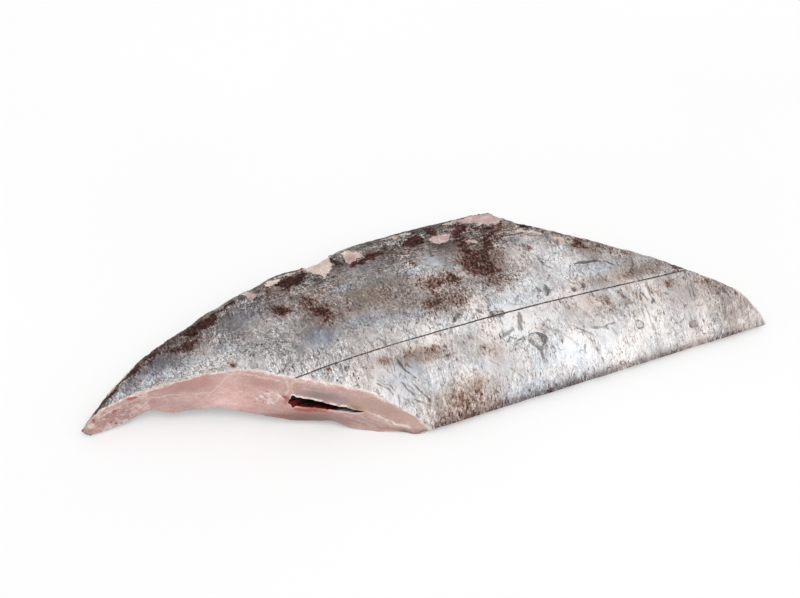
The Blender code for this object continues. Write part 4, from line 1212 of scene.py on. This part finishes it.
def make_back(finish):
    """The skin of the back, round its outer line. Gives its grid and count of upper rows."""
    crowd = EDGE_BAND * (1 - np.sin(np.linspace(0, math.pi / 2, EDGE_ROWS)))
    near = np.linspace(0, LINE_BAND, NEAR_ROWS, endpoint=False)
    wide = np.linspace(LINE_BAND, 1 - EDGE_BAND, MIDDLE_ROWS, endpoint=False)
    shares = np.concatenate([near, wide, 1 - crowd])

    def rows(shares):
        return [lambda s, share=share: lateral_t(s) + share * (back_t(s) - lateral_t(s))
                for share in shares]

    points = skin_grid(rows(shares), rows((1 - crowd)[::-1][:TURNED_ROWS]))
    relief, marks = displaced_skin(points, True)
    s, t, z = np.moveaxis(points, -1, 0)
    tear_back_edge(s, t, z, marks)
    frayed = 0.3 * noise(s / 2.6, t / 5, 10) + 0.25 * noise(s / 7, t / 9, 3)
    relief += np.exp(-(back_t(s) - t) / 4.0) * frayed
    back = points - grid_normals(points) * relief[..., None]
    back[..., 2] *= 1 - 0.12 * (1 - smooth(s, -121, -109))
    sag(back, len(shares))
    for name, part in (("lower_back_skin", slice(0, LOWER_BACK_ROWS + 1)),
                       ("upper_back_skin", slice(LOWER_BACK_ROWS, None))):
        finished_skin(name, back, marks, finish, True, part)
    return back, len(shares)


def make_belly(finish):
    """The skin of the belly, round its keel. Gives its grid and count of upper rows."""
    shares = 1 - np.linspace(0, 1, BELLY_ROWS) ** BELLY_CROWDING
    points = skin_grid([lambda s, share=share: lateral_t(s) * share for share in shares],
                       [lambda s, keel_t=keel_t: 0 * s + keel_t for keel_t in KEEL_ROWS_T])
    relief, marks = displaced_skin(points, False)
    s, t = points[..., 0], points[..., 1]
    # Painted shade along the keel, where the belly turns under towards the table.
    keel_shade = bell(t, 0.9) * (0.2 + 0.45 * noise(s / 6, t / 9, 2))
    marks["dark"] = np.maximum(marks["dark"], keel_shade)
    belly = points + grid_normals(points) * relief[..., None]
    belly[..., 2] = np.maximum(belly[..., 2], TABLE_GAP)
    sag(belly, len(shares))
    finished_skin("belly_skin", belly, marks, finish, False)
    return belly, len(shares)


def make_underside(finish):
    """The skin of the underside, between the belly's flat strip and the back."""
    def row(share):
        def edge_t(s):
            return lateral_t(s) + (1 - UNDER_END * EDGE_BAND) * (back_t(s) - lateral_t(s))
        return lambda s: UNDER_START_T + share * (edge_t(s) - UNDER_START_T)

    points = skin_grid([], [row(share) for share in np.linspace(0, 1, UNDER_ROWS)],
                       UNDER_COLUMNS)
    s, t = points[..., 0], points[..., 1]
    # Marks like those of the upper side, but mirrored, so that no place repeats.
    marks = skin_marks(60 - s * 0.8, 118 - t, t)
    relief, marks["ridge"] = skin_relief(s, t, t + 100, marks["contrast"])
    relief = 0.5 * relief - 0.32
    marks["rim"] = np.zeros_like(s)
    for cut in (head_cut, tail_cut):
        gap = cut.gap(s, t)
        marks["rim"] = np.maximum(marks["rim"], 1 - smooth(gap, 0.2, 0.9))
        relief -= 0.5 * np.exp(-gap / 3) * rough_noise(s / 3, t / 3, 7)
    points = points + grid_normals(points) * relief[..., None]
    sag(points, 0)
    finished_skin("under_skin", points, marks, finish, False)
    return points, 0


def sag(points, upper_rows):
    """Lets the underside, below these rows, sag and lift along the head cut."""
    s, t = points[..., 0], points[..., 1]
    order = np.argsort(head_cut.t - head_cut.s)
    d = np.interp(t - s, (head_cut.t - head_cut.s)[order], head_cut.d[order])
    lift = curve_through(HEAD_SAG, np.clip(d, 0, 137)) * np.exp(-head_cut.gap(s, t) / 10)
    lift[:upper_rows] = 0
    lowest = np.maximum(np.interp(d, *np.array(TIP_FLOOR).T), TABLE_GAP)
    points[..., 2] = np.maximum(points[..., 2] + lift, lowest)


# ---------------------------------------------------------------- cut faces
FACE_COLUMNS = 520
UPPER_SHARES = np.concatenate([np.linspace(0, 0.14, 13, endpoint=False),
                               np.linspace(0.14, 1, 42)])
LOWER_SHARES = np.linspace(0, 1, 38)
MOST_OFFSET = 0.7
LIP_SWELL = 0.25
HEAD_FACE_END = float(head_cut.d[head_cut.nearest(np.array([[NAPE_S, NAPE_T]]))[0]])
TAIL_FACE_END = float(tail_cut.d[tail_cut.nearest(np.array([[TAIL_BACK_S, BODY_DEPTH]]))[0]])


def outline(cut, edges):
    """The top and bottom of a cut's face: rows of distance, height and outward offset."""
    found = []
    for wanted in (True, False):
        points = np.concatenate([edge for edge, is_top in edges if is_top == wanted])
        j = cut.nearest(points)
        ds, dt = points[:, 0] - cut.s[j], points[:, 1] - cut.t[j]
        offset = ds * cut.out_s[j] + dt * cut.out_t[j]
        rows = np.stack([cut.d[j], points[:, 2], np.clip(offset, -MOST_OFFSET, MOST_OFFSET)])
        found.append(rows[:, np.argsort(rows[0])])
    return found


def face_grid(cut, d, heights, relief):
    """Points of a face: heights at each distance, set outwards by the relief."""
    s, t, out_s, out_t = cut.at(d)
    return np.stack([s + out_s * relief, t + out_t * relief, heights], -1)


def flesh_relief(d, z, top, low, septa, seed):
    """How far the flesh stands out of the cut, in mm."""
    swell = 0.35 * rough_noise(d / 9 + seed, z / 6, 1) + 0.14 * rough_noise(d / 2.4, z / 2.0, 4)
    fine = 0.05 * noise(d / 0.8, z / 0.9, 6)
    below = top - z
    ragged = 0.5 + 0.5 * noise(d / 1.2, z * 0, 7)
    bead = 0.3 * np.sin(math.pi * np.clip(below / 0.8, 0, 1)) * (0.2 + 1.1 * ragged**2)
    inner = smooth(below, 0, 0.5) * smooth(z - low, 0, 0.6)
    return inner * (swell + fine - 0.2 * septa) + bead


def flesh_marks(d, z, top, low, head):
    """Where the flesh of a cut is deep pink, pale, grey, bloody or rimmed with cream, and where
    shade and highlights are painted on it.
    """
    below, above = top - z, z - low
    wobble = 0.4 * noise(d / 2.2, z / 3, 8) + 0.3 * noise(d / 0.7, z / 2, 9)
    broad = np.maximum(1 - smooth(d, 50, 100), 0.7 * smooth(d, 92, 104)) if head else 0.5
    rim = 1 - smooth(below + (0.5 + 0.5 * broad) * wobble, 0.25 + 0.4 * broad, 0.7 + 0.9 * broad)
    septa, wander, zones, patches, soft = (
        (SEPTA, 0.5, HEAD_ZONES, HEAD_PATCHES, (0.2, 1.45)) if head else
        (TAIL_SEPTA, 0.6, TAIL_ZONES, TAIL_PATCHES, (0.35, 1.3)))
    marks = {name: patch_mask(spots, d, z, 4, 0.4, soft)
             for name, spots in zip(("deep", "grey", "yellow", "blood"), patches)}
    # Darker along the lower edge: painted shade.
    low_edge_shade = np.exp(-above / 0.9) * (0.5 + 0.5 * noise(d / 3, z * 0, 5))
    marks["shade"] = (1 + zone_mask(zones, d, z)) * (1 - 0.12 * low_edge_shade)
    marks["rim"] = rim * (0.6 + 0.5 * noise(d / 1.1, z * 0, 3))
    marks["pale"] = line_mask(septa, d, z, 5, wander)
    marks["marbled"], marks["black"] = np.zeros_like(d), np.zeros_like(d)
    if head:
        mark_nape(marks, d, z, below, above)
    return marks


def mark_nape(marks, d, z, below, above):
    """Marbled flesh and a dark outline at the nape, frayed edges and a dark band along the lower
    edge by the belly corner.
    """
    marks["marbled"] = smooth(d, 103, 112) * (1 - smooth(d, 129, 134))
    marks["yellow"] = np.maximum(marks["yellow"], 0.25 * smooth(d, 129, 134))
    tip = np.hypot((d - 132.8) / 1.8, (z - 5) / 1.5)
    frayed = np.exp(-above / 0.5) * smooth(noise(d / 0.9, z * 0, 12), 0.1, 0.5)
    marks["pale"] = np.maximum.reduce([marks["pale"], 0.9 * (1 - smooth(tip, 0.4, 1.2)),
                                       1.3 * frayed * smooth(d, 110, 114)])
    spot = np.hypot(d - 122.6, z - 2.6) < 0.4
    keel_band = bell(above, 0.9) * (1 - smooth(d, 9, 15))
    outlined = smooth(d, 129, 135) * (np.exp(-below / 0.8) + np.exp(-above / 0.8))
    marks["black"] = np.maximum.reduce([1.0 * spot, 0.8 * np.clip(outlined, 0, 1),
                                        0.65 * keel_band])


def mark_lips(marks, d, z, lip_z, opened, is_lower):
    """Lips of the pocket: painted highlights along them, blood and torn shreds. Gives how far they
    stand out, in mm.
    """
    lip = np.abs(z - lip_z)
    # Painted highlights: one along the upper lip, one just below the lower lip.
    painted_lip_highlight = opened * bell(lip - 0.45, 0.3) * ~is_lower
    painted_lip_highlight *= smooth(noise(d / 2.2, z * 0, 11), -0.5, 0.2) * smooth(d, 28, 31)
    lower_lip = opened * bell(lip, 0.4) * is_lower
    marks["blood"] = np.maximum(marks["blood"], 1.2 * lower_lip * smooth(d, 37, 42))
    torn = bell(d - 54.4, 0.9) * bell(z - 12.6, 1.9)
    shreds = smooth(noise(d / 0.55, z / 0.7, 3), 0.0, 0.3)
    marks["pale"] = np.maximum.reduce([
        marks["pale"], 1.6 * painted_lip_highlight, 2 * torn * shreds,
        0.9 * opened * is_lower * bell(lip - 0.8, 0.25)])
    marks["blood"] = np.maximum(marks["blood"] * (1 - torn * shreds), torn * (1 - shreds))
    return LIP_SWELL * opened * bell(lip, 0.55) + 0.4 * torn * shreds


def pocket_edges(d, between):
    """Heights of the floor and roof of the belly pocket's mouth. They meet beside it."""
    at, floor, roof = np.array(POCKET_MOUTH).T
    open_half = np.interp(d, at, roof - floor) / 2
    ragged = np.minimum(open_half, 0.8) * (0.2 + 0.5 * smooth(d, 50, 53))
    inside = (d > at[0]) & (d < at[-1])
    floor = np.interp(d, at, floor) + ragged * noise(d / 1.2, d * 0 + 3, 5)
    roof = np.interp(d, at, roof) + ragged * noise(d / 0.9, d * 0 + 9, 6)
    return np.where(inside, floor, between), np.where(inside, np.maximum(roof, floor), between)


def bone_path(count):
    """This many places s, t and z along the middle of the backbone."""
    nodes = np.array(BONE_PATH)
    s = np.linspace(nodes[0, 0], nodes[-1, 0], count)
    return s, curve_through(nodes[:, :2], s), curve_through(nodes[:, ::2], s)


def bone_distance(cut, d, z):
    """Distance from the backbone's middle on a cut's face, as a share of its radius."""
    s, t, heights = bone_path(400)
    away = np.hypot(s[:, None] - cut.s[None], t[:, None] - cut.t[None])
    i, j = np.unravel_index(np.argmin(away), away.shape)
    far = np.hypot((d - cut.d[j]) * abs(cut.out_s[j]), z - heights[i])
    return far / BONE_RADIUS + 0.12 * noise(d / 2.4, z / 2.0, 7)


def make_face(cut, name, edges, finish, far_d):
    """The flesh of a cut, with the mouth of the pocket left open at the head."""
    d = np.linspace(0.0, far_d, FACE_COLUMNS)
    (top, top_out), (low, low_out) = (
        [np.interp(d, rows[0], values) for values in rows[1:]] for rows in outline(cut, edges))
    low = np.minimum(low, top - 0.05)
    floor = roof = between = (top + low) / 2
    if cut.head:
        margin = 0.25 * (top - low)
        between = np.clip(curve_through(POCKET_MIDDLE, d), low + margin, top - margin)
        floor, roof = pocket_edges(d, between)
    opened = smooth(roof - floor, 0.1, 0.6)
    grids, marks = [], {}
    for start, end, shares, lip_z in ((top, roof, UPPER_SHARES, roof),
                                      (floor, low, LOWER_SHARES, floor)):
        z = start + (end - start) * shares[:, None]
        wide = np.broadcast_to(d, z.shape)
        own_marks = flesh_marks(wide, z, top, low, cut.head)
        relief = flesh_relief(wide, z, top, low, own_marks["pale"], 0 if cut.head else 60)
        far = bone_distance(cut, wide, z)
        relief = relief * smooth(far, 0.6, 1.4) - 0.7 * (1 - smooth(far, 0.3, 0.86))
        relief += top_out * np.exp(-(top - z) / 0.7) + low_out * np.exp(-(z - low) / 0.7)
        if cut.head:
            relief += mark_lips(own_marks, wide, z, lip_z, opened, z < between)
        grids.append(face_grid(cut, d, z, relief))
        for key, values in own_marks.items():
            marks.setdefault(key, []).append(values)
    dress(grid_object(name, grids, marks, finish, flip=not cut.head), "steak")
    return d, roof - floor, grids


def make_pocket(d, gap, grids):
    """The lining: roof and floor run along the fish from the lips and meet at the far end."""
    mouth = np.flatnonzero(gap > 0.03)
    columns = slice(mouth[0] - 1, mouth[-1] + 2)
    d, gap = d[columns], gap[columns]
    edges = grids[0][-1, columns], grids[1][0, columns]  # of the roof and of the floor
    middle = (edges[0] + edges[1]) / 2
    length = POCKET_LENGTH * np.sqrt(gap / gap.max())
    inner_t = POCKET_CORE_T + 0.8 * (middle[:, 1] - POCKET_CORE_T)
    ragged = 1.2 * noise(d / 1.6, d * 0 + 40, 8)
    share = np.sin(np.linspace(0, math.pi / 2, 40)) ** 1.3
    rows, reds, painted_sheen = [], [], []
    for side, x in [(0, x) for x in share] + [(1, x) for x in share[::-1][1:]]:
        depth = length * x
        bulge = math.sqrt(max(1 - x * x, 0.0)) * (1 + 0.4 * math.sin(math.pi * x))
        row = middle + (edges[side] - middle) * bulge
        row[:, 0] += depth
        row[:, 1] += (inner_t - middle[:, 1]) * smooth(depth, 6, 30)
        row[:, 2] += 0.3 * noise(d / 2.2, depth / 3 + 20 * side, 6) * smooth(x, 0, 0.1)
        rows.append(row)
        reds.append(side * (1 - smooth(depth + ragged, 1.0, 4.2)) * smooth(d, 37, 43))
        # A painted sheen on the floor of the pocket near the mouth.
        painted_sheen.append(side * 0.7 * (1 - smooth(depth, 1.0, 4.0)) * smooth(d, 29, 31)
                     * (1 - smooth(d, 35, 38)))
    marks = {"blood": [np.array(reds)], "grey": [np.array(painted_sheen)]}
    piece = grid_object("pocket_lining", [np.array(rows)], marks, lining_material())
    dress(piece, "steak")


def bone_cap(cut, ring, seed):
    """The lumpy end of the backbone within a ring, from the ring inwards."""
    middle = ring[:-1].mean(axis=0)
    reach = np.sin(np.linspace(math.pi / 2, 0, 16))[:, None]
    cap = middle + (ring - middle) * reach[..., None]
    j = cut.nearest(middle[None])[0]
    out = np.array([cut.out_s[j], cut.out_t[j], 0])
    x, z = cap[..., 0], cap[..., 2]
    lumps = 0.45 + 0.5 * noise(x / 2.2 + seed, z / 1.7, 2) + 0.3 * noise(x / 0.9, z / 0.9, 3)
    dome = (0.9 * lumps + 0.15) * (1 - reach**3) - 0.45 * reach**3
    return cap + out * dome[..., None]


def make_backbone(finish):
    """A rod of waisted vertebrae between the cuts, with lumpy ends."""
    around = np.linspace(0, 2 * math.pi, 49)
    path_s, path_t, path_z = bone_path(600)
    ends = []
    for cut in (head_cut, tail_cut):
        side_t = path_t[:, None] + BONE_RADIUS * np.cos(around)
        past = side_t - np.interp(path_s, cut.s, cut.t)[:, None]
        order = np.argsort(past, axis=0)
        past = np.take_along_axis(past, order, axis=0)
        ends.append([np.interp(0, past[:, i], path_s[order[:, i]]) for i in range(len(around))])
    start, end = np.array(ends)
    share = np.linspace(0, 1, 190)[:, None]
    s = start + (end - start) * share
    waist = 1 - 0.10 * np.sin(math.pi * s / 9.0) ** 2 * np.minimum(share, 1 - share) ** 0.2
    t = np.interp(s, path_s, path_t) + BONE_RADIUS * waist * np.cos(around)
    z = np.interp(s, path_s, path_z) + BONE_RADIUS * waist * np.sin(around)
    t += 0.5 * np.sin(math.pi * np.minimum(share * 8, 1)) * (share < 0.125)
    rod = np.stack([s, t, z], -1)
    grids = [bone_cap(head_cut, rod[0], 0)[::-1], rod, bone_cap(tail_cut, rod[-1], 30)]
    spots = [smooth(noise(points[..., 0] / 1.6, points[..., 2] / 1.5, 5), 0.5, 0.8)
             * (points is not rod) for points in grids]
    piece = grid_object("cut_backbone", grids, {"blood": spots}, finish)
    dress(piece, "backbone")


# ---------------------------------------------------------------- table, light, camera
CAMERA_PLACE = (-0.2535, -0.51244, 0.42086)
CAMERA_FORWARD = (0.3614, 0.7351, -0.5736)
FOCAL_PIXELS = 1700.0
SENSOR_MM = 36.0
TABLE_HALF = 4.0
TABLE_GLOW = 0.28
ROOM_STRENGTH = 0.72
LIGHT_AIM = (0.25, 0.8, -0.95)
LIGHT_STRENGTH = 1.5
LIGHT_SPREAD = 45


def make_stage():
    """A pale table, a white room and soft light from above."""
    n = Nodes("pale_table")
    mottle = n.noise((3, 3, 3))
    tone = n.ramp(mottle, ((0.3, (0.65, 0.65, 0.65)), (0.7, (0.67, 0.67, 0.67))))
    finish = n.finish(tone, 0.9, n.bump(mottle, 0.0001), Specular_IOR_Level=0.1,
                      Emission_Color=(1.0, 1.0, 1.0), Emission_Strength=TABLE_GLOW)
    mesh = bpy.data.meshes.new("table")
    corners = [(x * TABLE_HALF, y * TABLE_HALF, 0)
               for x, y in ((-1, -1), (1, -1), (1, 1), (-1, 1))]
    mesh.from_pydata(corners, [], [(0, 1, 2, 3)])
    mesh.materials.append(finish)
    linked("table", mesh)

    world = bpy.data.worlds.new("white_room")
    world.use_nodes = True
    background = world.node_tree.nodes["Background"]
    background.inputs["Color"].default_value = (1, 1, 1, 1)
    background.inputs["Strength"].default_value = ROOM_STRENGTH
    bpy.context.scene.world = world

    light = bpy.data.lights.new("front", "SUN")
    light.energy, light.angle = LIGHT_STRENGTH, math.radians(LIGHT_SPREAD)
    aim(linked("front", light), LIGHT_AIM)


def make_camera():
    """The camera at the photograph's viewing angle."""
    camera = bpy.data.cameras.new("camera")
    camera.sensor_width = SENSOR_MM
    camera.lens = FOCAL_PIXELS / PHOTO_WIDTH * SENSOR_MM
    seen_from = linked("camera", camera)
    seen_from.location = CAMERA_PLACE
    aim(seen_from, CAMERA_FORWARD)
    bpy.context.scene.camera = seen_from
    bpy.context.scene.view_settings.view_transform = "Standard"


def main():
    """All pieces, then the stage and the camera."""
    skin = skin_material()
    back, belly, under = make_back(skin), make_belly(skin), make_underside(skin)
    flesh = flesh_material()
    faces = []
    for cut, name, end, column in ((head_cut, "head_flesh", HEAD_FACE_END, 0),
                                   (tail_cut, "tail_flesh", TAIL_FACE_END, -1)):
        edges = []
        for points, upper_rows in (under, back, belly):
            edges += [(points[:upper_rows, column], True), (points[upper_rows:, column], False)]
        faces.append(make_face(cut, name, edges, flesh, end))
    make_pocket(*faces[0])
    make_backbone(bone_material())
    make_stage()
    make_camera()


main()
